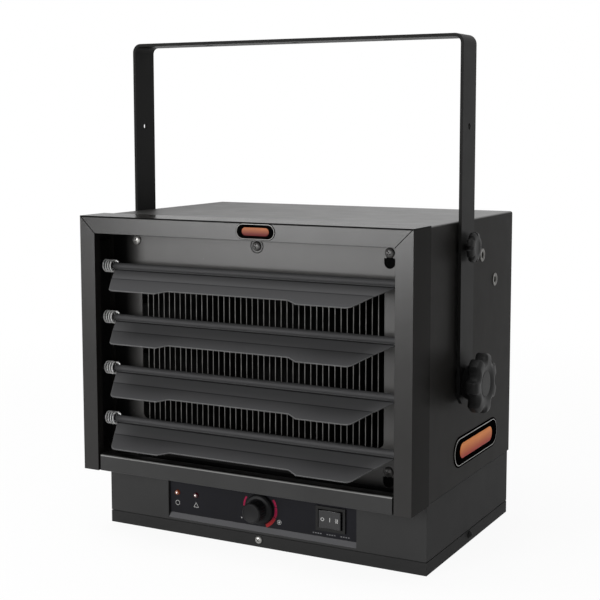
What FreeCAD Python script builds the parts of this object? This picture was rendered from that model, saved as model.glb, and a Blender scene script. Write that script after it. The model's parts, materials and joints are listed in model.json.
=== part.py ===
import FreeCAD, Part
import math
import os
import re
import Sketcher

# Garage heater hung in a tilting strap bracket: a folded steel cabinet on a control
# base, a mitred hood with four turning louvres, a fan, three heating rods and hand knobs.
# Millimetres, +Z up, front towards -Y, origin on the ground under the middle of the base.

Vector = FreeCAD.Vector
Rotation = FreeCAD.Rotation

os.makedirs("parts", exist_ok=True)
doc = FreeCAD.newDocument("GarageHeater")
sheet = doc.addObject("Spreadsheet::Sheet", "Sizes")

# Driving sizes: alias, value, what it is
sizes = [
    ("sheet_wall", 1.2, "thickness of the folded steel sheet"),
    ("running_fit", 0.05, "radial play of a shaft in its bearing"),
    ("free_fit", 0.3, "radial play of a loose hole"),
    ("cabinet_width", 354, "width over the cabinet sides"),
    ("cabinet_depth", 224, "cabinet from the outlet plate to the rear panel"),
    ("cabinet_height", 252.8, "cabinet from the floor plate to its top"),
    ("cabinet_bend", 2.4, "outer bend radius of the cabinet's top edges"),
    ("cabinet_flange", 14, "turned-in flange at the cabinet's foot and back"),
    ("base_step", 1.2, "how far the control base stands back from the cabinet"),
    ("base_top", 66, "height of the control base over the ground"),
    ("pan_height", 12.2, "height of the bottom pan's wall"),
    ("seam_gap", 0.8, "open seam between pan and base"),
    ("skirt_lap", 9, "how far the base reaches down into the pan"),
    ("hood_step", 1, "how far the hood stands out from the cabinet"),
    ("hood_depth", 40, "depth of the hood in front of the cabinet"),
    ("hood_flange", 12, "hood flange against the outlet plate"),
    ("stile_width", 17.3, "face width of the hood's upright sides"),
    ("rail_height", 17, "face height of the hood's top rail"),
    ("return_lip", 9, "turned-back lip round the hood's mouth"),
    ("mitre_gap", 0.6, "width of the open mitre seams"),
    ("bottom_rail_height", 17, "height of the hood's bottom rail"),
    ("bottom_rail_lip", 12, "top flange of the bottom rail"),
    ("bottom_rail_gap", 1.5, "gap between bottom rail and stiles"),
    ("bottom_rail_setback", 1, "bottom rail behind the stiles' face"),
    ("bottom_rail_bend", 2.6, "bend radius along the bottom rail's top edge"),
    ("outlet_width", 266, "width of the warm-air outlet"),
    ("outlet_rise", 48, "outlet's lower edge over the base"),
    ("outlet_drop", 57, "outlet's upper edge under the hood's top"),
    ("outlet_corner", 6, "corner radius of the outlet"),
    ("outlet_margin", 6, "guard strip behind the outlet plate"),
    ("bar_count", 41, "upright bars of the outlet guard"),
    ("bar_width", 1.3, "thickness of one guard bar"),
    ("bar_depth", 14, "depth of one guard bar"),
    ("bar_edge", 6.4, "first bar's distance from the outlet's edge"),
    ("louvre_drop", 51.5, "first louvre axis under the hood's top"),
    ("louvre_rise", 48.7, "last louvre axis over the base"),
    ("louvre_inset", 25.5, "louvre axes behind the hood's face"),
    ("louvre_tube", 7, "diameter of the rolled louvre edge"),
    ("louvre_pin", 5, "diameter of the louvre pins"),
    ("louvre_end_gap", 23, "rolled edge's end to the hood's outer side"),
    ("blade_sheet", 1, "thickness of the louvre blade"),
    ("blade_rear_run", 25.5, "axis to the blade's crease, level"),
    ("blade_rear_drop", 9.5, "axis to the blade's crease, down"),
    ("blade_front_run", 23, "crease to the blade's front edge, level"),
    ("blade_front_drop", 8, "crease to the blade's front edge, down"),
    ("blade_taper", 24.7, "how much narrower each blade end is at the front"),
    ("blade_corner", 8, "radius of the blade's front corners"),
    ("notch_width", 150, "width of the blade's front notch at the edge"),
    ("notch_slope", 10.7, "sideways run of the notch's ends"),
    ("notch_depth", 6, "depth of the blade's front notch"),
    ("side_rail_wall", 1.5, "thickness of the louvre carrier rails"),
    ("side_rail_width", 24, "width of the louvre carrier rails"),
    ("side_rail_depth", 6, "carrier rail's web from the hood's side"),
    ("side_rail_margin", 25, "carrier rail past the first and last axis"),
    ("bush_diameter", 9.5, "outside of the louvre spacer bushes"),
    ("spring_diameter", 13.3, "outside of the louvre springs"),
    ("spring_wire", 1.5, "wire of the louvre springs"),
    ("spring_pitch", 2.9, "pitch of the louvre springs"),
    ("spring_turns", 4.25, "turns of the louvre springs"),
    ("strap_width", 33.5, "width of the bracket strap"),
    ("strap_wall", 3, "thickness of the bracket strap"),
    ("strap_bend", 9, "outer bend radius of the bracket"),
    ("strap_corner", 6, "corner radius at the arms' feet"),
    ("arm_gap", 3, "gap between cabinet side and bracket arm"),
    ("arm_rise", 326, "bracket top over the pivot"),
    ("arm_foot", 19, "bracket foot under the pivot"),
    ("arm_hole", 6, "hole in the bracket arms"),
    ("arm_hole_rise", 241, "arm hole over the pivot"),
    ("ceiling_hole", 8.5, "screw holes in the bracket's top"),
    ("ceiling_spacing", 200, "distance of the outer screw holes"),
    ("pivot_rise", 99.8, "bracket pivot over the floor plate"),
    ("pivot_back", 78, "bracket pivot behind the cabinet's front"),
    ("pivot_stud", 10, "stud of the pivot knobs"),
    ("pivot_nut", 20, "weld nut for the pivot stud, across flats"),
    ("pivot_nut_length", 12, "length of the pivot weld nut"),
    ("pivot_disc", 24, "friction disc between cabinet and arm"),
    ("pivot_washer", 26, "washer under the pivot knob"),
    ("pivot_washer_wall", 1.5, "thickness of the pivot washer"),
    ("star_diameter", 58, "pivot knob over its lobes"),
    ("star_head", 13, "thickness of the pivot knob's head"),
    ("star_collar", 32, "diameter of the pivot knob's collar"),
    ("star_collar_length", 7, "length of the pivot knob's collar"),
    ("star_lobes", 7, "lobes of the pivot knob"),
    ("star_flute", 8.5, "radius of the hollows between lobes"),
    ("star_flute_out", 32, "hollows' centre from the knob's axis"),
    ("lock_radius", 128.5, "lock nuts from the pivot"),
    ("lock_angle_mid", 26, "middle lock nut behind upright, degrees"),
    ("lock_angle_far", 47, "last lock nut behind upright, degrees"),
    ("lock_stud", 8, "stud of the lock knobs"),
    ("lock_tip_gap", 0.4, "lock stud's tip from the lock nut's flange"),
    ("lock_travel", 2.5, "how far the lock knob screws in"),
    ("lock_washer", 18, "washer under the lock knob"),
    ("lock_washer_wall", 0.8, "thickness of the lock washer"),
    ("lock_head", 28.5, "diameter of the lock knob"),
    ("lock_head_height", 6.5, "thickness of the lock knob"),
    ("lock_notches", 8, "notches round the lock knob"),
    ("lock_notch", 2.4, "radius of the lock knob's notches"),
    ("rivet_flange", 13, "flange of the lock rivet nuts"),
    ("rivet_flange_wall", 0.7, "thickness of that flange"),
    ("rivet_barrel", 10.4, "barrel of the lock rivet nuts"),
    ("rivet_length", 12, "length of the lock rivet nuts"),
    ("panel_width", 210, "width of the control panel's recess"),
    ("panel_low", 19.7, "lower edge of the panel's floor over the ground"),
    ("panel_ledge", 4.7, "height of the slanted ledge under the panel"),
    ("panel_depth", 3.5, "depth of the recess"),
    ("overlay_wall", 0.8, "thickness of the printed overlay"),
    ("overlay_edge", 0.5, "overlay's play in the recess"),
    ("dial_height", 37.7, "height of the thermostat shaft over the ground"),
    ("dial_shaft", 6, "thermostat shaft"),
    ("dial_bush_hole", 10, "shaft hole in panel and overlay"),
    ("dial_skirt", 30, "diameter of the knob's skirt"),
    ("dial_skirt_height", 4.5, "height of the knob's skirt"),
    ("dial_grip", 20.4, "diameter of the knob's grip"),
    ("dial_height_out", 18.2, "height of the thermostat knob"),
    ("dial_flutes", 24, "flutes round the grip"),
    ("dial_gap", 0.6, "knob's clearance over the overlay"),
    ("thermostat_width", 38, "width of the thermostat's case"),
    ("thermostat_tall", 32, "height of the thermostat's case"),
    ("thermostat_depth", 26, "depth of the thermostat's case"),
    ("rocker_x", 77.2, "switch to the right of the middle"),
    ("rocker_height", 38.3, "middle of the switch over the ground"),
    ("rocker_flange_width", 31.3, "width of the switch's flange"),
    ("rocker_flange_tall", 24, "height of the switch's flange"),
    ("rocker_flange_wall", 1.8, "thickness of the switch's flange"),
    ("rocker_body_width", 28.2, "width of the switch's body"),
    ("rocker_body_tall", 20.6, "height of the switch's body"),
    ("rocker_body_depth", 20, "depth of the switch's body"),
    ("rocker_room_width", 26, "width of the switch's mouth"),
    ("rocker_room_tall", 18, "height of the switch's mouth"),
    ("rocker_room_depth", 13, "depth of the switch's mouth behind the overlay"),
    ("rocker_button_width", 23.2, "width of the rocking button"),
    ("rocker_button_tall", 17.2, "height of the rocking button"),
    ("rocker_pivot_depth", 4.3, "button's axis behind the overlay's face"),
    ("rocker_proud", 4, "button's ends in front of the overlay"),
    ("rocker_dish", 1.6, "hollow in the middle of the button's face"),
    ("rocker_pin", 3, "pins of the rocking button"),
    ("rocker_pin_length", 1, "length of those pins in the body"),
    ("lamp_height", 41, "height of the lamps over the ground"),
    ("lamp_x_power", -95.7, "power lamp from the middle"),
    ("lamp_x_fault", -73.7, "fault lamp from the middle"),
    ("lamp_lens", 5, "diameter of the lamps' lenses"),
    ("lamp_flange", 7.4, "flange behind the panel"),
    ("lamp_proud", 2.2, "lens in front of the overlay"),
    ("lamp_body", 9, "length of the lamp behind the panel"),
    ("rod_diameter", 8.5, "heating rod"),
    ("rod_bend", 13, "bend radius of the heating rods"),
    ("rod_pitch", 52, "distance of the heating rods"),
    ("rod_gap", 2, "heating rods behind the guard bars"),
    ("rod_end_gap", 10, "rod bend's clearance from the cabinet side"),
    ("rod_pin", 4, "terminal pins of the rods"),
    ("rod_pin_length", 8, "length of the terminal pins"),
    ("rod_plate_inset", 30, "rod plates from the cabinet's side"),
    ("rod_plate_depth", 44, "depth of the rod plates"),
    ("intake_margin", 20.4, "air intake from the cabinet's top and foot"),
    ("shroud_step", 4, "fan shroud inside the intake's edge"),
    ("shroud_depth", 34, "depth of the fan shroud"),
    ("shroud_flange", 8, "flange of the fan shroud"),
    ("fan_gap", 7, "blade tips' middles from the shroud"),
    ("fan_hub", 46, "diameter of the fan hub"),
    ("fan_hub_length", 22, "length of the fan hub"),
    ("fan_blades", 5, "blades of the fan"),
    ("fan_root_chord", 34, "blade length at the hub"),
    ("fan_tip_chord", 64, "blade length at the tip"),
    ("fan_root_pitch", 36, "blade angle at the hub, degrees"),
    ("fan_tip_pitch", 22, "blade angle at the tip, degrees"),
    ("fan_sheet", 1.4, "thickness of the fan blades"),
    ("fan_inset", 30, "fan's middle in front of the rear panel's face"),
    ("motor_diameter", 86, "diameter of the fan motor"),
    ("motor_length", 58, "length of the fan motor"),
    ("motor_gap", 8, "motor to fan hub"),
    ("motor_shaft", 8, "diameter of the motor shaft"),
    ("motor_shaft_in", 40, "motor shaft inside the motor"),
    ("mount_width", 64, "width of the motor's strap"),
    ("mount_wall", 2, "thickness of the motor's strap"),
    ("mount_foot", 22, "feet of the motor's strap"),
    ("guard_rings", 6, "rings of the intake guard"),
    ("guard_wire", 2.8, "wire of the intake guard"),
    ("guard_first", 22, "radius of the guard's inner ring"),
    ("guard_tab", 15, "screw tabs of the intake guard"),
    ("guard_tab_wall", 1.4, "thickness of those tabs"),
    ("screw_head", 7.5, "pan head of the screws"),
    ("screw_head_height", 2.4, "height of that head"),
    ("screw_shank", 3.8, "shank of the screws"),
    ("screw_length", 7, "shank length"),
    ("pan_screw_height", 7.3, "pan screws over the ground"),
    ("baffle_screw_x", 138, "outlet plate screws from the middle"),
    ("baffle_screw_drop", 26, "upper plate screws under the hood's top"),
    ("baffle_screw_rise", 27, "lower plate screws over the base"),
    ("slot_width", 11, "hook slots under the right-hand plate screws"),
    ("slot_drop", 5, "slot's flat top under its screw"),
    ("slot_tall", 9.5, "height of the hook slots"),
    ("slot_plate_edge", 5, "cover plate's margin round its slot"),
    ("rear_screw_margin", 18, "rear screws from the panel's corners"),
    ("cable_bush_x", 118, "cable bush from the middle"),
    ("cable_bush_height", 40, "cable bush over the ground"),
    ("cable_bore", 16, "bore of the cable bush"),
    ("cable_barrel", 22, "barrel of the cable bush"),
    ("cable_flange", 30, "flange of the cable bush"),
    ("cable_flange_wall", 3, "thickness of that flange"),
    ("terminal_length", 62, "length of the terminal block"),
    ("terminal_width", 28, "width of the terminal block"),
    ("terminal_tall", 24, "height of the terminal block"),
    ("contactor_width", 46, "width of the contactor"),
    ("contactor_depth", 58, "depth of the contactor"),
    ("contactor_tall", 44, "height of the contactor"),
    ("limit_diameter", 16, "cap of the over-heat switch"),
    ("limit_height", 9, "height of the over-heat switch"),
    ("badge_x", 21.5, "front plate's middle to the right"),
    ("badge_width", 41, "front plate's length"),
    ("badge_tall", 15, "front plate's height"),
    ("badge_wall", 0.8, "thickness of the plates"),
    ("side_badge_width", 122, "side plate's length"),
    ("side_badge_tall", 30, "side plate's height"),
    ("side_badge_back", 124, "side plate's middle behind the cabinet's front"),
    ("side_badge_rise", 31, "side plate's middle over the floor plate"),
]
for row, (alias, value, note) in enumerate(sizes, start=1):
    sheet.set("A%d" % row, note)
    sheet.set("B%d" % row, str(value))
    sheet.setAlias("B%d" % row, alias)
doc.recompute()
aliases = {alias for alias, value, note in sizes}

# How many louvres and heating rods there are
louvre_count = 4
rod_count = 3

# Places that follow from the sizes, as expressions
cabinet_side = "(cabinet_width / 2)"
cabinet_front = "(-cabinet_depth / 2)"
cabinet_rear = "(cabinet_depth / 2)"
floor_top = "(base_top + sheet_wall)"
cabinet_top = f"({floor_top} + cabinet_height)"
side_in = "(cabinet_width / 2 - sheet_wall)"
top_in = f"({cabinet_top} - sheet_wall)"
base_width = "(cabinet_width - 2 * base_step)"
base_depth = "(cabinet_depth - 2 * base_step)"
base_low = "(pan_height + seam_gap)"
base_front = f"(-{base_depth} / 2)"
hood_width = "(cabinet_width + 2 * hood_step)"
hood_side = "(cabinet_width / 2 + hood_step)"
hood_top = f"({cabinet_top} + hood_step)"
hood_height = f"({hood_top} - base_top)"
hood_front = f"({cabinet_front} - hood_depth)"
hood_in = f"({hood_side} - sheet_wall)"
plate_back = f"({cabinet_front} + sheet_wall)"
outlet_low = "(base_top + outlet_rise)"
outlet_high = f"({hood_top} - outlet_drop)"
louvre_y = f"({hood_front} + louvre_inset)"
louvre_pitch = f"(({hood_height} - louvre_drop - louvre_rise) / {louvre_count - 1})"
rail_face = f"({hood_in} - side_rail_depth)"
louvre_half = f"({hood_side} - louvre_end_gap)"
pivot_y = f"({cabinet_front} + pivot_back)"
pivot_z = f"({floor_top} + pivot_rise)"
arm_in = f"({cabinet_side} + arm_gap)"
arm_out = f"({arm_in} + strap_wall)"
panel_face = f"({base_front} + panel_depth)"
panel_back = f"({panel_face} + sheet_wall)"
overlay_face = f"({panel_face} - overlay_wall)"
axis_z = f"({floor_top} + cabinet_height / 2)"
panel_rear_in = f"({cabinet_rear} - sheet_wall)"
intake_diameter = "(cabinet_height - 2 * intake_margin)"
shroud_diameter = f"({intake_diameter} - 2 * shroud_step)"
fan_diameter = f"({shroud_diameter} - 2 * fan_gap)"
fan_y = f"({cabinet_rear} - fan_inset)"
motor_rear = f"({fan_y} - fan_hub_length / 2 - motor_gap)"
motor_front = f"({motor_rear} - motor_length)"
rod_y = f"({plate_back} + bar_depth + rod_gap + rod_diameter / 2)"
rod_plate_x = f"({side_in} - rod_plate_inset)"
rod_bend_x = f"({side_in} - rod_end_gap - rod_diameter / 2 - rod_bend)"
upper_screw_z = f"({hood_top} - baffle_screw_drop)"
lower_screw_z = "(base_top + baffle_screw_rise)"

facing = {
    "up": Rotation(),
    "right": Rotation(Vector(0, 1, 0), 90),
    "left": Rotation(Vector(0, 1, 0), -90),
    "front": Rotation(Vector(1, 0, 0), 90),
    "rear": Rotation(Vector(1, 0, 0), -90),
}


def cell(text):
    return re.sub(r"[a-z][a-z_]*", lambda m: "Sizes." + m[0] if m[0] in aliases else m[0], str(text))


def number(text):
    return float(sheet.evalExpression(cell(text)))


def put(item, at, turn="up"):
    item.Placement = FreeCAD.Placement(Vector(), facing[turn])
    for axis, text in zip("xyz", at):
        item.setExpression("Placement.Base." + axis, cell(text))
    return item


# Part primitives and booleans bound to the sheet

def box(name, size, at):
    item = doc.addObject("Part::Box", name)
    for side, text in zip(("Length", "Width", "Height"), size):
        item.setExpression(side, cell(text))
    return put(item, at)


def rod(name, diameter, length, at, turn="up"):
    item = doc.addObject("Part::Cylinder", name)
    item.setExpression("Radius", cell(f"({diameter}) / 2"))
    item.setExpression("Height", cell(length))
    return put(item, at, turn)


def fuse(name, *shapes):
    item = doc.addObject("Part::MultiFuse", name)
    item.Shapes = list(shapes)
    item.Refine = True
    item.Label = name
    return item


def cut(name, base, *tools):
    item = doc.addObject("Part::Cut", name)
    item.Base = base
    item.Tool = tools[0] if len(tools) == 1 else fuse(name + "_tools", *tools)
    item.Refine = True
    item.Label = name
    return item


def group(name, *shapes):
    item = doc.addObject("Part::Compound", name)
    item.Links = list(shapes)
    item.Label = name
    return item


# Bodies with sketches

def new_body(name, at=("0", "0", "0"), turn="up"):
    body = doc.addObject("PartDesign::Body", name)
    body.Label = name
    return put(body, at, turn)


def new_sketch(body, role, offset="0"):
    sketch = body.newObject("Sketcher::SketchObject", body.Name + "_sketch")
    plane = next(o for o in body.Origin.OriginFeatures if o.Role == role)
    sketch.AttachmentSupport = [(plane, "")]
    sketch.MapMode = "FlatFace"
    sketch.setExpression("AttachmentOffset.Base.z", cell(offset))
    return sketch


def pin_point(sketch, geometry, end, x, y):
    for kind, text in (("DistanceX", x), ("DistanceY", y)):
        rule = sketch.addConstraint(Sketcher.Constraint(kind, -1, 1, geometry, end, number(text)))
        sketch.setExpression("Constraints[%d]" % rule, cell(text))


def outline(sketch, corners):
    # A closed outline through corners (x, y) or (x, y, radius), each an expression.
    points = [Vector(number(c[0]), number(c[1]), 0) for c in corners]
    count = len(corners)
    arrive, leave, arcs = [], [], []
    for i, corner in enumerate(corners):
        if len(corner) == 2:
            arrive.append(points[i])
            leave.append(points[i])
            arcs.append(None)
            continue
        back = (points[i - 1] - points[i]).normalize()
        ahead = (points[(i + 1) % count] - points[i]).normalize()
        half = back.getAngle(ahead) / 2
        radius = number(corner[2])
        reach = radius / math.tan(half)
        centre = points[i] + (back + ahead).normalize() * (radius / math.sin(half))
        arrive.append(points[i] + back * reach)
        leave.append(points[i] + ahead * reach)
        arcs.append((centre, radius, back.cross(ahead).z < 0))
    sides = []
    for i in range(count):
        sides.append(sketch.addGeometry(Part.LineSegment(leave[i], arrive[(i + 1) % count]), False))
    for i, corner in enumerate(corners):
        before, after = sides[i - 1], sides[i]
        if arcs[i] is None:
            sketch.addConstraint(Sketcher.Constraint("Coincident", before, 2, after, 1))
            pin_point(sketch, after, 1, corner[0], corner[1])
            continue
        centre, radius, leftward = arcs[i]
        first, last = (arrive[i], leave[i]) if leftward else (leave[i], arrive[i])
        start = math.atan2(first.y - centre.y, first.x - centre.x)
        stop = math.atan2(last.y - centre.y, last.x - centre.x)
        circle = Part.Circle(centre, Vector(0, 0, 1), radius)
        arc = sketch.addGeometry(Part.ArcOfCircle(circle, start, stop), False)
        near, far = (1, 2) if leftward else (2, 1)
        sketch.addConstraint(Sketcher.Constraint("Tangent", before, 2, arc, near))
        sketch.addConstraint(Sketcher.Constraint("Tangent", arc, far, after, 1))
        rule = sketch.addConstraint(Sketcher.Constraint("Radius", arc, radius))
        sketch.setExpression("Constraints[%d]" % rule, cell(corner[2]))
        tip = sketch.addGeometry(Part.Point(points[i]), True)
        sketch.addConstraint(Sketcher.Constraint("PointOnObject", tip, 1, before))
        sketch.addConstraint(Sketcher.Constraint("PointOnObject", tip, 1, after))
        pin_point(sketch, tip, 1, corner[0], corner[1])


def rectangle(sketch, left, low, right, high, radius=None):
    corners = [(left, low), (right, low), (right, high), (left, high)]
    outline(sketch, [c + (radius,) if radius else c for c in corners])


def circle(sketch, x, y, diameter):
    centre = Vector(number(x), number(y), 0)
    size = number(diameter)
    ring = sketch.addGeometry(Part.Circle(centre, Vector(0, 0, 1), size / 2), False)
    rule = sketch.addConstraint(Sketcher.Constraint("Diameter", ring, size))
    sketch.setExpression("Constraints[%d]" % rule, cell(diameter))
    pin_point(sketch, ring, 3, x, y)


def pad(body, sketch, length, both_ways=False):
    feature = body.newObject("PartDesign::Pad", body.Name + "_pad")
    feature.Profile = sketch
    feature.SideType = "Symmetric" if both_ways else "One side"
    feature.setExpression("Length", cell(length))
    return feature


def pocket(body, sketch, length=None):
    # Without a length the cut goes through everything, both ways.
    feature = body.newObject("PartDesign::Pocket", body.Name + "_pocket")
    feature.Profile = sketch
    if length is None:
        feature.Type = "ThroughAll"
        feature.SideType = "Symmetric"
    else:
        feature.setExpression("Length", cell(length))
    return feature


def revolve(body, corners):
    sketch = new_sketch(body, "XZ_Plane")
    outline(sketch, corners)
    feature = body.newObject("PartDesign::Revolution", body.Name + "_turned")
    feature.Profile = sketch
    feature.ReferenceAxis = (sketch, ["V_Axis"])
    feature.Angle = 360
    return feature


def around(body, feature, sketch, count):
    pattern = body.newObject("PartDesign::PolarPattern", body.Name + "_around")
    pattern.Originals = [feature]
    pattern.Axis = (sketch, ["N_Axis"])
    pattern.Angle = 360
    pattern.setExpression("Occurrences", cell(count))
    body.Tip = pattern
    return pattern


def turned(name, corners, at, turn):
    body = new_body(name, at, turn)
    revolve(body, corners)
    return body


def pan_screw(name, at, turn):
    return turned(name, [
        ("0", "-screw_length"),
        ("screw_shank / 2", "-screw_length"),
        ("screw_shank / 2", "0"),
        ("screw_head / 2", "0"),
        ("screw_head / 2", "screw_head_height * 0.45"),
        ("screw_head / 4", "screw_head_height"),
        ("0", "screw_head_height"),
    ], at, turn)


sides = (("left", "-1"), ("right", "1"))

# Bottom pan: an open tray that the heater stands on, screwed to the base's skirt.
pan_block = box("pan_block", (base_width, base_depth, "pan_height"),
                (f"-{base_width} / 2", base_front, "0"))
pan_room = box("pan_room", (f"{base_width} - 2 * sheet_wall", f"{base_depth} - 2 * sheet_wall", "pan_height"),
               (f"-{base_width} / 2 + sheet_wall", f"{base_front} + sheet_wall", "sheet_wall"))
screw_bore = "screw_shank + free_fit"
pan_bore_y = rod("pan_bore_y", screw_bore, f"{base_depth} * 2", ("0", f"-{base_depth}", "pan_screw_height"), "rear")
pan_bore_x = rod("pan_bore_x", screw_bore, f"{base_width} * 2", (f"-{base_width}", "0", "pan_screw_height"), "right")
bottom_pan = cut("bottom_pan", pan_block, pan_room, pan_bore_y, pan_bore_x)

# Control base: four walls with a stamped recess for the controls and a skirt inside the pan.
base_block = box("base_block", (base_width, base_depth, f"base_top - {base_low}"),
                 (f"-{base_width} / 2", base_front, base_low))
base_room = box("base_room", (f"{base_width} - 2 * sheet_wall", f"{base_depth} - 2 * sheet_wall", "base_top"),
                (f"-{base_width} / 2 + sheet_wall", f"{base_front} + sheet_wall", "0"))


def recess(name, grow):
    # The stamped hollow: upright floor, slanted ledge below, open to the base's top.
    body = new_body(name)
    sketch = new_sketch(body, "YZ_Plane")
    outline(sketch, [
        (f"{base_front} - {grow} - 1", f"panel_low - panel_ledge - {grow}"),
        (f"{base_front} + {grow} * 0.4", f"panel_low - panel_ledge - {grow}"),
        (f"{panel_face} + {grow}", f"panel_low - {grow}"),
        (f"{panel_face} + {grow}", "base_top + 1"),
        (f"{base_front} - {grow} - 1", "base_top + 1"),
    ])
    pad(body, sketch, f"panel_width + 2 * {grow}", both_ways=True)
    return body


base_hollow = cut("base_hollow", base_room, recess("recess_back", "sheet_wall"))
skirt_outer = box("skirt_outer",
                  (f"{base_width} - 2 * sheet_wall", f"{base_depth} - 2 * sheet_wall", "skirt_lap + 2 * sheet_wall"),
                  (f"-{base_width} / 2 + sheet_wall", f"{base_front} + sheet_wall", f"{base_low} - skirt_lap"))
skirt_inner = box("skirt_inner",
                  (f"{base_width} - 4 * sheet_wall", f"{base_depth} - 4 * sheet_wall", "base_top"),
                  (f"-{base_width} / 2 + 2 * sheet_wall", f"{base_front} + 2 * sheet_wall", "0"))
base_walls = cut("base_walls", base_block, base_hollow, recess("recess_face", "0"))
base_skirt = cut("base_skirt", skirt_outer, skirt_inner)
shaft_hole = rod("shaft_hole", "dial_bush_hole", "8 * sheet_wall",
                 ("0", f"{panel_face} - 4 * sheet_wall", "dial_height"), "rear")
lamp_holes = [rod(f"lamp_hole_{x}", "lamp_lens + 2 * free_fit", "8 * sheet_wall",
                  (x, f"{panel_face} - 4 * sheet_wall", "lamp_height"), "rear")
              for x in ("lamp_x_power", "lamp_x_fault")]
rocker_hole = box("rocker_hole",
                  ("rocker_body_width + free_fit", "8 * sheet_wall", "rocker_body_tall + free_fit"),
                  ("rocker_x - rocker_body_width / 2 - free_fit / 2", f"{panel_face} - 4 * sheet_wall",
                   "rocker_height - rocker_body_tall / 2 - free_fit / 2"))
cable_hole = rod("cable_hole", "cable_barrel + 2 * free_fit", "8 * sheet_wall",
                 ("cable_bush_x", f"{base_depth} / 2 - 4 * sheet_wall", "cable_bush_height"), "rear")
base_shell = cut("base_shell", fuse("base_folded", base_walls, base_skirt),
                 pan_bore_y, pan_bore_x, shaft_hole, *lamp_holes, rocker_hole, cable_hole)

# Floor plate between the control base and the hot cabinet, with a hole for the leads.
floor_sheet = box("floor_sheet", (base_width, base_depth, "sheet_wall"),
                  (f"-{base_width} / 2", base_front, "base_top"))
lead_hole = rod("lead_hole", "cable_barrel", "4 * sheet_wall",
                (f"-{rod_plate_x} - rod_plate_inset / 2", "0", "base_top - sheet_wall"))
floor_plate = cut("floor_plate", floor_sheet, lead_hole)

# Cabinet: one folded sheet over the sides and the top, with flanges at its feet and its back.
cabinet_shell = new_body("cabinet_shell")
wrap = new_sketch(cabinet_shell, "XZ_Plane", f"-{cabinet_rear}")
outline(wrap, [
    (f"-{cabinet_side} + cabinet_flange", floor_top),
    (f"-{cabinet_side}", floor_top),
    (f"-{cabinet_side}", cabinet_top, "cabinet_bend"),
    (cabinet_side, cabinet_top, "cabinet_bend"),
    (cabinet_side, floor_top),
    (f"{cabinet_side} - cabinet_flange", floor_top),
    (f"{cabinet_side} - cabinet_flange", f"{floor_top} + sheet_wall"),
    (side_in, f"{floor_top} + sheet_wall"),
    (side_in, top_in, "cabinet_bend - sheet_wall"),
    (f"-{side_in}", top_in, "cabinet_bend - sheet_wall"),
    (f"-{side_in}", f"{floor_top} + sheet_wall"),
    (f"-{cabinet_side} + cabinet_flange", f"{floor_top} + sheet_wall"),
])
pad(cabinet_shell, wrap, "cabinet_depth")
back_flange = new_sketch(cabinet_shell, "XZ_Plane", f"-{panel_rear_in}")
outline(back_flange, [
    (f"-{cabinet_side} + sheet_wall / 2", f"{floor_top} + sheet_wall / 2"),
    (f"-{cabinet_side} + sheet_wall / 2", f"{cabinet_top} - sheet_wall / 2", "cabinet_bend"),
    (f"{cabinet_side} - sheet_wall / 2", f"{cabinet_top} - sheet_wall / 2", "cabinet_bend"),
    (f"{cabinet_side} - sheet_wall / 2", f"{floor_top} + sheet_wall / 2"),
    (f"{cabinet_side} - cabinet_flange", f"{floor_top} + sheet_wall / 2"),
    (f"{cabinet_side} - cabinet_flange", f"{cabinet_top} - cabinet_flange"),
    (f"-{cabinet_side} + cabinet_flange", f"{cabinet_top} - cabinet_flange"),
    (f"-{cabinet_side} + cabinet_flange", f"{floor_top} + sheet_wall / 2"),
])
pad(cabinet_shell, back_flange, "sheet_wall")
lock_places = [
    (pivot_y, f"{pivot_z} + lock_radius"),
    (f"{pivot_y} + lock_radius * sin(lock_angle_mid)", f"{pivot_z} + lock_radius * cos(lock_angle_mid)"),
    (f"{pivot_y} + lock_radius * sin(lock_angle_far)", f"{pivot_z} + lock_radius * cos(lock_angle_far)"),
]
side_holes = new_sketch(cabinet_shell, "YZ_Plane")
circle(side_holes, pivot_y, pivot_z, "pivot_stud + 2 * free_fit")
for y, z in lock_places:
    circle(side_holes, y, z, "rivet_barrel + 2 * free_fit")
pocket(cabinet_shell, side_holes)

# Rear panel with the round air intake.
rear_screw_x = f"({side_in} - cabinet_flange / 2 + sheet_wall / 2)"
rear_screw_low = f"({floor_top} + rear_screw_margin)"
rear_screw_high = f"({top_in} - rear_screw_margin)"
rear_places = [(sign + " * " + rear_screw_x, z) for sign in ("-1", "1")
               for z in (rear_screw_low, f"({rear_screw_low} + {rear_screw_high}) / 2", rear_screw_high)]
rear_panel_body = new_body("rear_sheet")
rear_face = new_sketch(rear_panel_body, "XZ_Plane", f"-{cabinet_rear}")
rectangle(rear_face, f"-{side_in}", f"{floor_top} + sheet_wall", side_in, top_in, "cabinet_bend - sheet_wall")
circle(rear_face, "0", axis_z, intake_diameter)
pad(rear_panel_body, rear_face, "sheet_wall")
guard_reach = f"({intake_diameter} / 2 + guard_tab / 2)"
guard_places = [(f"{guard_reach} * cos({turn})", f"{axis_z} + {guard_reach} * sin({turn})")
                for turn in (45, 135, 225, 315)]
screw_holes = [rod(f"rear_hole_{i}", screw_bore, "screw_length + 4 * sheet_wall",
                   (x, f"{cabinet_rear} - screw_length - 2 * sheet_wall", z), "rear")
               for i, (x, z) in enumerate(rear_places + guard_places)]
rear_panel = cut("rear_panel", rear_panel_body, *screw_holes)
cabinet_folded = cabinet_shell
cabinet_folded.Label = "cabinet_folded"
cabinet_shell = cut("cabinet_shell_cut", cabinet_folded, *screw_holes[:len(rear_places)])
cabinet_shell.Label = "cabinet_shell"

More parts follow.
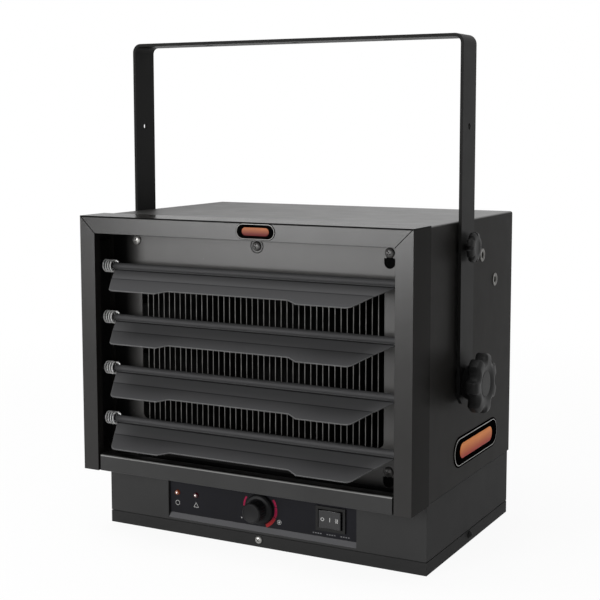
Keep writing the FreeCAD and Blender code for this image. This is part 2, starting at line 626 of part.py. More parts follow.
# Outlet plate behind the louvres, with two hook slots under its right-hand screws.
front_sheet = new_body("outlet_sheet")
plate_face = new_sketch(front_sheet, "XZ_Plane", f"-{plate_back}")
rectangle(plate_face, f"-{side_in}", f"{floor_top} + sheet_wall", side_in, top_in, "cabinet_bend - sheet_wall")
rectangle(plate_face, "-outlet_width / 2", outlet_low, "outlet_width / 2", outlet_high, "outlet_corner")
pad(front_sheet, plate_face, "sheet_wall")
plate_flange = new_sketch(front_sheet, "XZ_Plane", f"-{plate_back} - hood_flange")
rectangle(plate_flange, f"-{side_in}", f"{floor_top} + sheet_wall", side_in, top_in, "cabinet_bend - sheet_wall")
rectangle(plate_flange, f"-{side_in} + sheet_wall", f"{floor_top} + 2 * sheet_wall",
          f"{side_in} - sheet_wall", f"{top_in} - sheet_wall")
pad(front_sheet, plate_flange, "hood_flange")
zinc_places = [("-baffle_screw_x", upper_screw_z)]
black_places = [("0", upper_screw_z), ("-baffle_screw_x", lower_screw_z), ("baffle_screw_x", upper_screw_z),
                ("baffle_screw_x", lower_screw_z)]
plate_holes = []
for i, (x, z) in enumerate(zinc_places + black_places):
    plate_holes.append(rod(f"plate_hole_{i}", screw_bore, "4 * sheet_wall",
                           (x, f"{cabinet_front} - sheet_wall", z), "rear"))
covers = []
for i, (x, z) in enumerate(black_places[2:]):
    round_z = f"({z} - slot_drop - slot_tall + slot_width / 2)"
    plate_holes.append(rod(f"slot_round_{i}", "slot_width", "4 * sheet_wall",
                           (x, f"{cabinet_front} - sheet_wall", round_z), "rear"))
    plate_holes.append(box(f"slot_straight_{i}", ("slot_width", "4 * sheet_wall", "slot_tall - slot_width / 2"),
                           (f"{x} - slot_width / 2", f"{cabinet_front} - sheet_wall", round_z)))
    covers.append(box(f"slot_cover_{i}",
                      ("slot_width + 2 * slot_plate_edge", "sheet_wall",
                       "slot_tall + slot_plate_edge + slot_drop / 3"),
                      (f"{x} - slot_width / 2 - slot_plate_edge", plate_back,
                       f"{z} - slot_drop - slot_tall - slot_plate_edge")))
front_baffle = cut("front_baffle", front_sheet, *plate_holes)
slot_covers = group("slot_covers", *covers)

# Outlet guard: upright flat bars between two strips on the back of the outlet plate.
outlet_guard = new_body("outlet_guard")
for low, high in ((f"{outlet_low} - outlet_margin", outlet_low), (outlet_high, f"{outlet_high} + outlet_margin")):
    strip = new_sketch(outlet_guard, "XZ_Plane", f"-{plate_back} - bar_depth")
    rectangle(strip, "-outlet_width / 2", low, "outlet_width / 2", high)
    pad(outlet_guard, strip, "bar_depth")
bar_face = new_sketch(outlet_guard, "XZ_Plane", f"-{plate_back} - bar_depth")
first_bar = "(-outlet_width / 2 + bar_edge)"
rectangle(bar_face, f"{first_bar} - bar_width / 2", f"{outlet_low} - 1", f"{first_bar} + bar_width / 2",
          f"{outlet_high} + 1")
bar = pad(outlet_guard, bar_face, "bar_depth")
bars = outlet_guard.newObject("PartDesign::LinearPattern", "guard_bars")
bars.Originals = [bar]
bars.Direction = (bar_face, ["H_Axis"])
bars.setExpression("Length", cell("outlet_width - 2 * bar_edge"))
bars.setExpression("Occurrences", cell("bar_count"))
outlet_guard.Tip = bars

# Hood: a folded frame with an open foot, mitred at its top corners.
hood_block = box("hood_block", (hood_width, "hood_depth", hood_height), (f"-{hood_side}", hood_front, "base_top"))
hood_room = box("hood_room", (f"2 * {hood_in}", "hood_depth - 2 * sheet_wall", hood_height),
                (f"-{hood_in}", f"{hood_front} + sheet_wall", "base_top - sheet_wall"))
hood_mouth = box("hood_mouth", (f"{hood_width} - 2 * stile_width", "3 * sheet_wall", hood_height),
                 (f"-{hood_side} + stile_width", f"{hood_front} - sheet_wall", "base_top - rail_height"))
hood_back = box("hood_back", (f"{hood_width} - 2 * hood_flange", "3 * sheet_wall", hood_height),
                (f"-{hood_side} + hood_flange", f"{cabinet_front} - 2 * sheet_wall", "base_top - hood_flange"))
lip_top = box("lip_top", (f"{hood_width} - 2 * stile_width + 2 * sheet_wall", "return_lip", "sheet_wall"),
              (f"-{hood_side} + stile_width - sheet_wall", hood_front, f"{hood_top} - rail_height"))
lip_left = box("lip_left", ("sheet_wall", "return_lip", f"{hood_height} - rail_height"),
               (f"-{hood_side} + stile_width - sheet_wall", hood_front, "base_top"))
lip_right = box("lip_right", ("sheet_wall", "return_lip", f"{hood_height} - rail_height"),
                (f"{hood_side} - stile_width", hood_front, "base_top"))
hood_folded = fuse("hood_folded", cut("hood_shell", hood_block, hood_room, hood_mouth, hood_back),
                   lip_top, lip_left, lip_right)
mitres = []
for side, sign in sides:
    seam = new_body("mitre_" + side)
    seam_sketch = new_sketch(seam, "XZ_Plane", f"-{hood_front} - sheet_wall * 0.75")
    inner_x = f"{sign} * ({hood_side} - stile_width)"
    outer_x = f"{sign} * ({hood_side} - sheet_wall)"
    inner_z = f"{hood_top} - rail_height"
    outer_z = f"{hood_top} - sheet_wall"
    outline(seam_sketch, [
        (f"{inner_x} - mitre_gap * 0.7", inner_z),
        (f"{inner_x} + mitre_gap * 0.7", inner_z),
        (f"{outer_x} + mitre_gap * 0.7", outer_z),
        (f"{outer_x} - mitre_gap * 0.7", outer_z),
    ])
    pad(seam, seam_sketch, "sheet_wall")
    mitres.append(seam)
bezel_frame = cut("bezel_frame", hood_folded, *mitres)

# Bottom rail of the hood: a folded channel between the stiles that closes the hood's foot.
bezel_bottom_rail = new_body("bezel_bottom_rail")
channel = new_sketch(bezel_bottom_rail, "YZ_Plane")
rail_y = f"({hood_front} + bottom_rail_setback)"
rail_z = "(base_top + bottom_rail_height)"
outline(channel, [
    (rail_y, "base_top", "sheet_wall"),
    (base_front, "base_top"),
    (base_front, floor_top),
    (f"{rail_y} + sheet_wall", floor_top),
    (f"{rail_y} + sheet_wall", f"{rail_z} - sheet_wall", "bottom_rail_bend - sheet_wall"),
    (f"{rail_y} + bottom_rail_lip", f"{rail_z} - sheet_wall"),
    (f"{rail_y} + bottom_rail_lip", rail_z),
    (rail_y, rail_z, "bottom_rail_bend"),
])
pad(bezel_bottom_rail, channel, f"{hood_width} - 2 * stile_width - 2 * bottom_rail_gap", both_ways=True)

# Louvre carriers: two punched channels inside the hood's sides.
louvre_heights = [f"({hood_top} - louvre_drop - {i} * {louvre_pitch})" for i in range(louvre_count)]
rail_length = f"({louvre_pitch} * {louvre_count - 1} + 2 * side_rail_margin)"
rail_back = f"({cabinet_front} - sheet_wall - side_rail_width)"
rail_foot = f"({louvre_heights[-1]} - side_rail_margin)"
louvre_rails = []
for side, sign in sides:
    blank = box(f"rail_blank_{side}", ("side_rail_depth", "side_rail_width", rail_length),
                (f"{sign} * ({rail_face} + side_rail_depth / 2) - side_rail_depth / 2", rail_back, rail_foot))
    trough = box(f"rail_trough_{side}",
                 ("side_rail_depth", "side_rail_width - 2 * side_rail_wall", f"2 * {rail_length}"),
                 (f"{sign} * ({rail_face} + side_rail_wall + side_rail_depth / 2) - side_rail_depth / 2",
                  f"{rail_back} + side_rail_wall", f"{rail_foot} - {rail_length} / 2"))
    pin_holes = [rod(f"pin_hole_{side}_{i}", "louvre_pin + 2 * running_fit", "3 * side_rail_wall",
                     (f"{sign} * {rail_face} - 1.5 * side_rail_wall", louvre_y, z), "right")
                 for i, z in enumerate(louvre_heights)]
    louvre_rails.append(cut("louvre_rail_" + side, blank, trough, *pin_holes))


def louvre(index):
    # Creased blade on a rolled edge, cut to tapered ends and a notched front, with two pins.
    body = new_body(f"louvre_{index + 1}", ("0", louvre_y, louvre_heights[index]))
    crease_y, crease_z = "-blade_rear_run", "-blade_rear_drop"
    front_y = "(-blade_rear_run - blade_front_run)"
    front_z = "(-blade_rear_drop - blade_front_drop)"
    blade = new_sketch(body, "YZ_Plane")
    outline(blade, [
        ("-louvre_tube * 0.1", "-louvre_tube * 0.45"),
        ("-louvre_tube * 0.1", "-louvre_tube * 0.45 + blade_sheet"),
        (crease_y, f"{crease_z} + blade_sheet / 2"),
        (front_y, f"{front_z} + blade_sheet / 2"),
        (front_y, f"{front_z} - blade_sheet / 2"),
        (crease_y, f"{crease_z} - blade_sheet / 2"),
    ])
    blade_half = f"({louvre_half} - louvre_tube / 3)"
    pad(body, blade, f"2 * {blade_half}", both_ways=True)
    ends = new_sketch(body, "XY_Plane")
    for sign in ("-1", "1"):
        outline(ends, [
            (f"{sign} * {blade_half}", "-louvre_tube / 2"),
            (f"{sign} * ({blade_half} - blade_taper)", front_y, "blade_corner"),
            (f"{sign} * ({blade_half} - blade_taper - 1.2 * blade_corner)", front_y),
            (f"{sign} * ({blade_half} - blade_taper - 1.2 * blade_corner)", f"{front_y} - 1"),
            (f"{sign} * ({blade_half} + 1)", f"{front_y} - 1"),
            (f"{sign} * ({blade_half} + 1)", "-louvre_tube / 2"),
        ])
    outline(ends, [
        ("-notch_width / 2", f"{front_y} - 1"),
        ("notch_width / 2", f"{front_y} - 1"),
        ("notch_width / 2", front_y, "notch_depth / 2"),
        ("notch_width / 2 - notch_slope", f"{front_y} + notch_depth", "notch_depth / 2"),
        ("-notch_width / 2 + notch_slope", f"{front_y} + notch_depth", "notch_depth / 2"),
        ("-notch_width / 2", front_y, "notch_depth / 2"),
    ])
    pocket(body, ends)
    edge = new_sketch(body, "YZ_Plane")
    circle(edge, "0", "0", "louvre_tube")
    pad(body, edge, f"2 * {louvre_half}", both_ways=True)
    pins = new_sketch(body, "YZ_Plane")
    circle(pins, "0", "0", "louvre_pin")
    pad(body, pins, f"2 * {rail_face} + 4 * side_rail_wall", both_ways=True)
    return body


louvres = [louvre(i) for i in range(louvre_count)]

# Spacer bushes on the right-hand pins.
bushes = []
for i, z in enumerate(louvre_heights):
    tube = rod(f"bush_tube_{i}", "bush_diameter", f"{rail_face} - {louvre_half}", (louvre_half, louvre_y, z), "right")
    bore = rod(f"bush_bore_{i}", "louvre_pin + 2 * running_fit", f"2 * ({rail_face} - {louvre_half})",
               (f"{louvre_half} - 1", louvre_y, z), "right")
    bushes.append(cut(f"bush_{i}", tube, bore))
louvre_bushes = group("louvre_bushes", *bushes)


# Louvre springs: one wire each, from the left rail round the pin to the rolled edge.

def tangent_arc(start, heading, end):
    # The circular arc that leaves start along heading and ends at end.
    chord = end - start
    side = chord - heading * chord.dot(heading)
    side.normalize()
    radius = chord.dot(chord) / (2 * chord.dot(side))
    centre = start + side * radius
    middle = centre + ((start - centre) + (end - centre)).normalize() * radius
    return Part.Arc(start, middle, end), radius


def biarc(start, heading, end, arrival):
    chord = end - start
    both = heading + arrival
    spread = 2 * (1 - heading.dot(arrival))
    reach = (-chord.dot(both) + math.sqrt(chord.dot(both) ** 2 + spread * chord.dot(chord))) / spread
    joint = ((start + heading * reach) + (end - arrival * reach)) * 0.5
    first, first_radius = tangent_arc(start, heading, joint)
    second, second_radius = tangent_arc(end, arrival * -1, joint)
    second_back = Part.Arc(joint, second.value(second.parameter(joint) * 0.5), end)
    return [first, second_back], min(first_radius, second_radius)


def spring(index):
    wire = number("spring_wire")
    coil = (number("spring_diameter") - wire) / 2
    pitch = number("spring_pitch")
    quarters = round(4 * number("spring_turns"))
    face = Vector(-number(rail_face), number(louvre_y), number(louvre_heights[index]))
    climb = pitch / (2 * math.pi)
    length = math.hypot(coil, climb)
    entry = math.radians(50)
    lead = 2.6 * wire

    def on_coil(angle):
        place = Vector(lead + climb * angle, coil * math.cos(angle), coil * math.sin(angle))
        heading = Vector(climb / length, -coil * math.sin(angle) / length, coil * math.cos(angle) / length)
        return face + place, heading

    foot_end = face + Vector(wire, coil * math.cos(-entry), coil * math.sin(-entry))
    foot = face + Vector(0, coil * math.cos(-entry), coil * math.sin(-entry))
    edges = [Part.LineSegment(foot, foot_end)]
    place, heading = foot_end, Vector(1, 0, 0)
    tightest = coil
    for step in range(quarters + 1):
        next_place, next_heading = on_coil(step * math.pi / 2)
        arcs, radius = biarc(place, heading, next_place, next_heading)
        tightest = min(tightest, radius)
        edges.extend(arcs)
        place, heading = next_place, next_heading
    tail_start = place + Vector(1.4 * wire, -1.4 * wire, 0)
    arcs, radius = biarc(place, heading, tail_start, Vector(1, 0, 0))
    tightest = min(tightest, radius)
    edges.extend(arcs)
    edges.append(Part.LineSegment(tail_start, tail_start + Vector(wire, 0, 0)))
    path = Part.Wire([edge.toShape() for edge in edges])
    profile = Part.Wire(Part.Circle(foot, Vector(1, 0, 0), wire / 2).toShape())
    shell = Part.BRepOffsetAPI.MakePipeShell(path)
    shell.add(profile)
    shell.build()
    shell.makeSolid()
    points = path.discretize(Distance=wire / 2)
    apart = round(math.pi * coil / (wire / 2))
    gap = min(a.distanceToPoint(b) for i, a in enumerate(points) for b in points[i + apart:]) - wire
    print(f"spring {index + 1}: least gap {gap:.2f}, tightest bend {tightest:.2f}, wire {wire:.2f}")
    item = doc.addObject("Part::Feature", f"spring_{index + 1}")
    item.Shape = shell.shape()
    return item


louvre_springs = group("louvre_springs", *[spring(i) for i in range(louvre_count)])

# Bracket: one bent strap with holes for the ceiling screws, the pivots and the lock knobs.
bracket = new_body("bracket")
strap = new_sketch(bracket, "XZ_Plane", f"-{pivot_y}")
bracket_top = f"({pivot_z} + arm_rise)"
bracket_foot = f"({pivot_z} - arm_foot)"
outline(strap, [
    (f"-{arm_out}", bracket_foot),
    (f"-{arm_out}", bracket_top, "strap_bend"),
    (arm_out, bracket_top, "strap_bend"),
    (arm_out, bracket_foot),
    (arm_in, bracket_foot),
    (arm_in, f"{bracket_top} - strap_wall", "strap_bend - strap_wall"),
    (f"-{arm_in}", f"{bracket_top} - strap_wall", "strap_bend - strap_wall"),
    (f"-{arm_in}", bracket_foot),
])
pad(bracket, strap, "strap_width", both_ways=True)
ceiling_holes = new_sketch(bracket, "XY_Plane")
for x in ("-ceiling_spacing / 2", "0", "ceiling_spacing / 2"):
    circle(ceiling_holes, x, pivot_y, "ceiling_hole")
pocket(bracket, ceiling_holes)
arm_holes = new_sketch(bracket, "YZ_Plane")
circle(arm_holes, pivot_y, pivot_z, "pivot_stud + 2 * running_fit")
circle(arm_holes, pivot_y, f"{pivot_z} + lock_radius", "lock_stud + 2 * free_fit")
circle(arm_holes, pivot_y, f"{pivot_z} + arm_hole_rise", "arm_hole")
for sign in ("-1", "1"):
    outline(arm_holes, [
        (f"{pivot_y} + {sign} * strap_width / 2", f"{bracket_foot} + strap_corner"),
        (f"{pivot_y} + {sign} * (strap_width / 2 - strap_corner)", bracket_foot),
        (f"{pivot_y} + {sign} * (strap_width / 2 - strap_corner)", f"{bracket_foot} - 1"),
        (f"{pivot_y} + {sign} * (strap_width / 2 + 1)", f"{bracket_foot} - 1"),
        (f"{pivot_y} + {sign} * (strap_width / 2 + 1)", f"{bracket_foot} + strap_corner"),
    ])
pocket(bracket, arm_holes)

# Pivot hardware: weld nut, friction disc, washer and star knob on each side.
nuts, discs = [], []
pivot_washers, pivot_knobs = [], []
for side, sign in sides:
    nut = new_body("pivot_nut_" + side, (f"{sign} * {side_in}", pivot_y, pivot_z), side)
    hexagon = new_sketch(nut, "XY_Plane", "-pivot_nut_length")
    nut_corner = "(pivot_nut / sqrt(3))"
    outline(hexagon, [(f"{nut_corner} * cos({turn})", f"{nut_corner} * sin({turn})") for turn in range(0, 360, 60)])
    circle(hexagon, "0", "0", "pivot_stud + 2 * running_fit")
    pad(nut, hexagon, "pivot_nut_length")
    nuts.append(nut)
    discs.append(turned("pivot_disc_" + side, [
        ("pivot_stud / 2 + free_fit", "0"),
        ("pivot_disc / 2", "0"),
        ("pivot_disc / 2", "arm_gap"),
        ("pivot_stud / 2 + free_fit", "arm_gap"),
    ], (f"{sign} * {cabinet_side}", pivot_y, pivot_z), side))
    pivot_washers.append(turned("pivot_washer_" + side, [
        ("pivot_stud / 2 + free_fit", "0"),
        ("pivot_washer / 2", "0"),
        ("pivot_washer / 2", "pivot_washer_wall"),
        ("pivot_stud / 2 + free_fit", "pivot_washer_wall"),
    ], (f"{sign} * {arm_out}", pivot_y, pivot_z), side))
    knob = new_body("pivot_knob_" + side, (f"{sign} * ({arm_out} + pivot_washer_wall)", pivot_y, pivot_z), side)
    stud_end = "(-pivot_washer_wall - strap_wall - arm_gap - sheet_wall - pivot_nut_length)"
    head_low = "star_collar_length"
    head_high = "(star_collar_length + star_head)"
    revolve(knob, [
        ("0", stud_end),
        ("pivot_stud / 2", stud_end),
        ("pivot_stud / 2", "0"),
        ("star_collar / 2", "0"),
        ("star_collar / 2 + 2", head_low),
        ("star_diameter / 2", f"{head_low} + star_head * 0.15", "star_head * 0.1"),
        ("star_diameter / 2", f"{head_high} - star_head * 0.2", "star_head * 0.2"),
        ("star_diameter * 0.3", head_high),
        ("star_diameter * 0.22", f"{head_high} - star_head * 0.12"),
        ("0", f"{head_high} - star_head * 0.12"),
    ])
    flute = new_sketch(knob, "XY_Plane", f"{head_high} + 1")
    circle(flute, "star_flute_out", "0", "2 * star_flute")
    around(knob, pocket(knob, flute, "star_head + 1"), flute, "star_lobes")
    pivot_knobs.append(knob)
pivot_nuts = group("pivot_nuts", *nuts)
pivot_discs = group("pivot_discs", *discs)

# Lock hardware: rivet nuts in the cabinet's sides, washer and thumb knob on each arm.
rivets = []
lock_washers, lock_knobs = [], []
for side, sign in sides:
    for i, (y, z) in enumerate(lock_places):
        rivets.append(turned(f"rivet_nut_{side}_{i}", [
            ("lock_stud / 2 + running_fit", "-rivet_length"),
            ("rivet_barrel / 2", "-rivet_length"),
            ("rivet_barrel / 2", "0"),
            ("rivet_flange / 2", "0"),
            ("rivet_flange / 2", "rivet_flange_wall"),
            ("lock_stud / 2 + running_fit", "rivet_flange_wall"),
        ], (f"{sign} * {cabinet_side}", y, z), side))
    rest = f"({arm_out} + lock_washer_wall + lock_travel)"
    lock_y, lock_z = lock_places[0]
    lock_washers.append(turned("lock_washer_" + side, [
        ("lock_stud / 2 + free_fit", "-lock_washer_wall"),
        ("lock_washer / 2", "-lock_washer_wall"),
        ("lock_washer / 2", "0"),
        ("lock_stud / 2 + free_fit", "0"),
    ], (f"{sign} * {rest}", lock_y, lock_z), side))
    thumb = new_body("lock_knob_" + side, (f"{sign} * {rest}", lock_y, lock_z), side)
    tip = f"({cabinet_side} + rivet_flange_wall + lock_tip_gap - {rest})"
    revolve(thumb, [
        ("0", tip),
        ("lock_stud / 2", tip),
        ("lock_stud / 2", "0"),
        ("lock_head / 2 - 1", "0"),
        ("lock_head / 2", "1"),
        ("lock_head / 2", "lock_head_height - 2", "1.5"),
        ("lock_head * 0.28", "lock_head_height"),
        ("0", "lock_head_height"),
    ])
    notch = new_sketch(thumb, "XY_Plane", "lock_head_height + 1")
    circle(notch, "lock_head / 2 + lock_notch * 0.3", "0", "2 * lock_notch")
    around(thumb, pocket(thumb, notch, "lock_head_height + 2"), notch, "lock_notches")
    lock_knobs.append(thumb)
rivet_nuts = group("rivet_nuts", *rivets)

# Printed overlay on the floor of the control recess.
overlay_sheet = new_body("overlay_sheet")
overlay_face_sketch = new_sketch(overlay_sheet, "XZ_Plane", f"-{panel_face}")
rectangle(overlay_face_sketch, "-panel_width / 2 + overlay_edge", "panel_low + overlay_edge",
          "panel_width / 2 - overlay_edge", "base_top - overlay_edge")
pad(overlay_sheet, overlay_face_sketch, "overlay_wall")
control_overlay = cut("control_overlay", overlay_sheet, shaft_hole, *lamp_holes, rocker_hole)

# Thermostat: case behind the panel, shaft and knob.
case = box("thermostat_case", ("thermostat_width", "thermostat_depth", "thermostat_tall"),
           ("-thermostat_width / 2", panel_back, "dial_height - thermostat_tall / 2"))
neck = rod("thermostat_neck", "dial_bush_hole - 2 * free_fit", "sheet_wall * 2",
           ("0", f"{panel_back} - sheet_wall * 0.9", "dial_height"), "rear")
shaft_bore = rod("shaft_bore", "dial_shaft + 2 * running_fit", "thermostat_depth",
                 ("0", f"{panel_back} - 2 * sheet_wall", "dial_height"), "rear")
thermostat_body = cut("thermostat_body", fuse("thermostat_block", case, neck), shaft_bore)
dial_base = f"({overlay_face} - dial_gap)"
shaft_in = "(dial_gap + overlay_wall + sheet_wall + thermostat_depth * 0.7)"
shaft_out = "(dial_height_out * 0.6)"
thermostat_shaft = rod("thermostat_shaft", "dial_shaft", f"{shaft_in} + {shaft_out}",
                       ("0", f"{dial_base} + {shaft_in}", "dial_height"), "front")
thermostat_knob = new_body("thermostat_knob", ("0", dial_base, "dial_height"), "front")
revolve(thermostat_knob, [
    ("dial_shaft / 2 + running_fit", "0"),
    ("dial_skirt / 2", "0"),
    ("dial_skirt / 2", "dial_skirt_height * 0.5"),
    ("dial_skirt / 2 - 1.5", "dial_skirt_height"),
    ("dial_grip / 2 + 0.6", "dial_skirt_height"),
    ("dial_grip / 2", "dial_height_out - 1.2", "1"),
    ("dial_grip / 2 - 1.6", "dial_height_out"),
    ("dial_grip / 2 - 2.4", "dial_height_out - 0.5"),
    ("0", "dial_height_out - 0.5"),
    ("0", shaft_out),
    ("dial_shaft / 2 + running_fit", shaft_out),
])
knurl = new_sketch(thermostat_knob, "XY_Plane", "dial_height_out + 1")
circle(knurl, "dial_grip / 2 + 0.5", "0", "1.8")
flute = pocket(thermostat_knob, knurl, "dial_height_out + 1 - dial_skirt_height")
around(thermostat_knob, flute, knurl, "dial_flutes")

# Rocker switch: housing through the panel, button rocking about an upright axis.
rocker_y = f"({overlay_face} + rocker_pivot_depth)"
flange = box("rocker_flange", ("rocker_flange_width", "rocker_flange_wall", "rocker_flange_tall"),
             ("rocker_x - rocker_flange_width / 2", f"{overlay_face} - rocker_flange_wall",
              "rocker_height - rocker_flange_tall / 2"))
trunk = box("rocker_trunk", ("rocker_body_width", "rocker_body_depth", "rocker_body_tall"),
            ("rocker_x - rocker_body_width / 2", overlay_face, "rocker_height - rocker_body_tall / 2"))
room = box("rocker_room", ("rocker_room_width", "rocker_room_depth + 2 * rocker_flange_wall", "rocker_room_tall"),
           ("rocker_x - rocker_room_width / 2", f"{overlay_face} - 2 * rocker_flange_wall",
            "rocker_height - rocker_room_tall / 2"))
trunnion_hole = rod("trunnion_hole", "rocker_pin + 2 * running_fit", "rocker_room_tall + 2 * rocker_pin_length",
                    ("rocker_x", rocker_y, "rocker_height - rocker_room_tall / 2 - rocker_pin_length"))
rocker_housing = cut("rocker_housing", fuse("rocker_case", flange, trunk), room, trunnion_hole)
rocker_button = new_body("rocker_button", ("rocker_x", rocker_y, "rocker_height"))
paddle = new_sketch(rocker_button, "XY_Plane")
proud = "(-rocker_pivot_depth - rocker_proud)"
outline(paddle, [
    ("-rocker_button_width / 2", proud, "1"),
    ("0", f"{proud} + rocker_dish"),
    ("rocker_button_width / 2", proud, "1"),
    ("rocker_button_width / 2", "-rocker_pivot_depth / 2"),
    ("rocker_button_width / 5", "rocker_pin"),
    ("-rocker_button_width / 5", "rocker_pin"),
    ("-rocker_button_width / 2", "-rocker_pivot_depth / 2"),
])
pad(rocker_button, paddle, "rocker_button_tall", both_ways=True)
trunnion = new_sketch(rocker_button, "XY_Plane")
circle(trunnion, "0", "0", "rocker_pin")
pad(rocker_button, trunnion, "rocker_room_tall + 1.6 * rocker_pin_length", both_ways=True)


# Two indicator lamps with domed lenses.

def lamp(name, x):
    return turned(name, [
        ("0", "-lamp_body"),
        ("lamp_flange / 2 - 0.6", "-lamp_body"),
        ("lamp_flange / 2", "-lamp_body + 0.6"),
        ("lamp_flange / 2", "0"),
        ("lamp_lens / 2", "0"),
        ("lamp_lens / 2", "sheet_wall + overlay_wall + lamp_proud", "lamp_lens * 0.3"),
        ("0", "sheet_wall + overlay_wall + lamp_proud"),
    ], (x, panel_back, "lamp_height"), "front")


power_lamp = lamp("power_lamp", "lamp_x_power")
fault_lamp = lamp("fault_lamp", "lamp_x_fault")

# Heating rods: hairpins between two upright plates, with terminal pins on the left.
rod_heights = [f"({axis_z} + {i - (rod_count - 1) / 2} * rod_pitch)" for i in range(rod_count)]
rod_start = f"(-{side_in} + rod_end_gap + rod_pin_length)"
heating_rods = []
rod_runs = []
for i, z in enumerate(rod_heights):
    pieces = []
    for sign in ("-1", "1"):
        run_z = f"{z} + {sign} * rod_bend"
        pieces.append(rod(f"rod_run_{i}_{sign}", "rod_diameter", f"{rod_bend_x} - {rod_start}",
                          (rod_start, rod_y, run_z), "right"))
        pieces.append(rod(f"rod_pin_{i}_{sign}", "rod_pin", "2 * rod_pin_length",
                          (f"{rod_start} - rod_pin_length", rod_y, run_z), "right"))
        rod_runs.append(run_z)
    bend = doc.addObject("Part::Torus", f"rod_bend_{i}")
    bend.setExpression("Radius1", cell("rod_bend"))
    bend.setExpression("Radius2", cell("rod_diameter / 2"))
    bend.Angle3 = 180
    put(bend, (rod_bend_x, rod_y, z), "up")
    bend.Placement.Rotation = Rotation(Vector(1, 0, 0), 90) * Rotation(Vector(0, 0, 1), -90)
    heating_rods.append(fuse(f"heating_rod_{i + 1}", *pieces, bend))
rod_plate_y = f"({plate_back} + hood_flange + sheet_wall)"
rod_plates = []
for side, sign in sides:
    blank = box(f"rod_blank_{side}", ("sheet_wall", "rod_plate_depth", "cabinet_height - sheet_wall"),
                (f"{sign} * {rod_plate_x} - sheet_wall / 2", rod_plate_y, floor_top))
    foot = box(f"rod_foot_{side}", ("hood_flange", "rod_plate_depth", "sheet_wall"),
               (f"{sign} * ({rod_plate_x} - hood_flange / 2) - hood_flange / 2", rod_plate_y, floor_top))
    holes = [rod(f"rod_hole_{side}_{i}", "rod_diameter + 2 * free_fit", "8 * sheet_wall",
                 (f"{sign} * {rod_plate_x} - 4 * sheet_wall", rod_y, z), "right") for i, z in enumerate(rod_runs)]
    rod_plates.append(cut("rod_plate_" + side, fuse(f"rod_folded_{side}", blank, foot), *holes))

# Fan: pressed hub and twisted blades on the motor shaft.
fan_blade = new_body("fan_blade", ("0", fan_y, axis_z), "rear")
revolve(fan_blade, [
    ("motor_shaft / 2 + running_fit", "-fan_hub_length / 2"),
    ("fan_hub / 2", "-fan_hub_length / 2"),
    ("fan_hub / 2", "fan_hub_length / 2 - 3", "2"),
    ("fan_hub / 2 - 4", "fan_hub_length / 2"),
    ("motor_shaft / 2 + running_fit", "fan_hub_length / 2"),
])


def blade_section(offset, chord, pitch):
    sketch = new_sketch(fan_blade, "YZ_Plane", offset)
    along = f"({chord} / 2 * cos({pitch}))"
    rise = f"({chord} / 2 * sin({pitch}))"
    outline(sketch, [
        (f"-{along}", f"-{rise} - fan_sheet / 2"),
        (along, f"{rise} - fan_sheet / 2"),
        (along, f"{rise} + fan_sheet / 2"),
        (f"-{along}", f"-{rise} + fan_sheet / 2"),
    ])
    return sketch


root_section = blade_section("fan_hub / 2 - 5", "fan_root_chord", "fan_root_pitch")
tip_section = blade_section(f"{fan_diameter} / 2", "fan_tip_chord", "fan_tip_pitch")
blade_loft = fan_blade.newObject("PartDesign::AdditiveLoft", "fan_blade_loft")
blade_loft.Profile = root_section
blade_loft.Sections = [tip_section]
blade_loft.Ruled = True
hub_plane = new_sketch(fan_blade, "XY_Plane")
circle(hub_plane, "0", "0", "motor_shaft")
around(fan_blade, blade_loft, hub_plane, "fan_blades")
motor_shaft = rod("motor_shaft_pin", "motor_shaft", "motor_shaft_in + motor_gap + fan_hub_length",
                  ("0", f"{motor_rear} - motor_shaft_in", axis_z), "rear")
motor_shaft.Label = "motor_shaft"

# Fan motor on an upright strap between floor plate and cabinet top.
fan_motor = turned("fan_motor", [
    ("0", "0"),
    ("motor_diameter * 0.42", "0"),
    ("motor_diameter / 2", "motor_length * 0.14"),
    ("motor_diameter / 2", "motor_length * 0.86"),
    ("motor_diameter * 0.42", "motor_length"),
    ("motor_shaft / 2 + running_fit", "motor_length"),
    ("motor_shaft / 2 + running_fit", "motor_length - motor_shaft_in - 1"),
    ("0", "motor_length - motor_shaft_in - 1"),
], ("0", motor_front, axis_z), "rear")
motor_mount = new_body("motor_mount")
mount_section = new_sketch(motor_mount, "YZ_Plane")
outline(mount_section, [
    (f"{motor_front} - mount_foot", floor_top),
    (motor_front, floor_top, "mount_wall * 1.5"),
    (motor_front, top_in, "mount_wall * 1.5"),
    (f"{motor_front} - mount_foot", top_in),
    (f"{motor_front} - mount_foot", f"{top_in} - mount_wall"),
    (f"{motor_front} - mount_wall", f"{top_in} - mount_wall"),
    (f"{motor_front} - mount_wall", f"{floor_top} + mount_wall"),
    (f"{motor_front} - mount_foot", f"{floor_top} + mount_wall"),
])
pad(motor_mount, mount_section, "mount_width", both_ways=True)

# Fan shroud: a flanged ring on the inside of the rear panel.
fan_shroud = turned("fan_shroud", [
    (f"{shroud_diameter} / 2", "-shroud_depth"),
    (f"{shroud_diameter} / 2 + sheet_wall", "-shroud_depth"),
    (f"{shroud_diameter} / 2 + sheet_wall", "-sheet_wall", "1"),
    (f"{shroud_diameter} / 2 + shroud_flange", "-sheet_wall"),
    (f"{shroud_diameter} / 2 + shroud_flange", "0"),
    (f"{shroud_diameter} / 2", "0", "2"),
], ("0", panel_rear_in, axis_z), "rear")

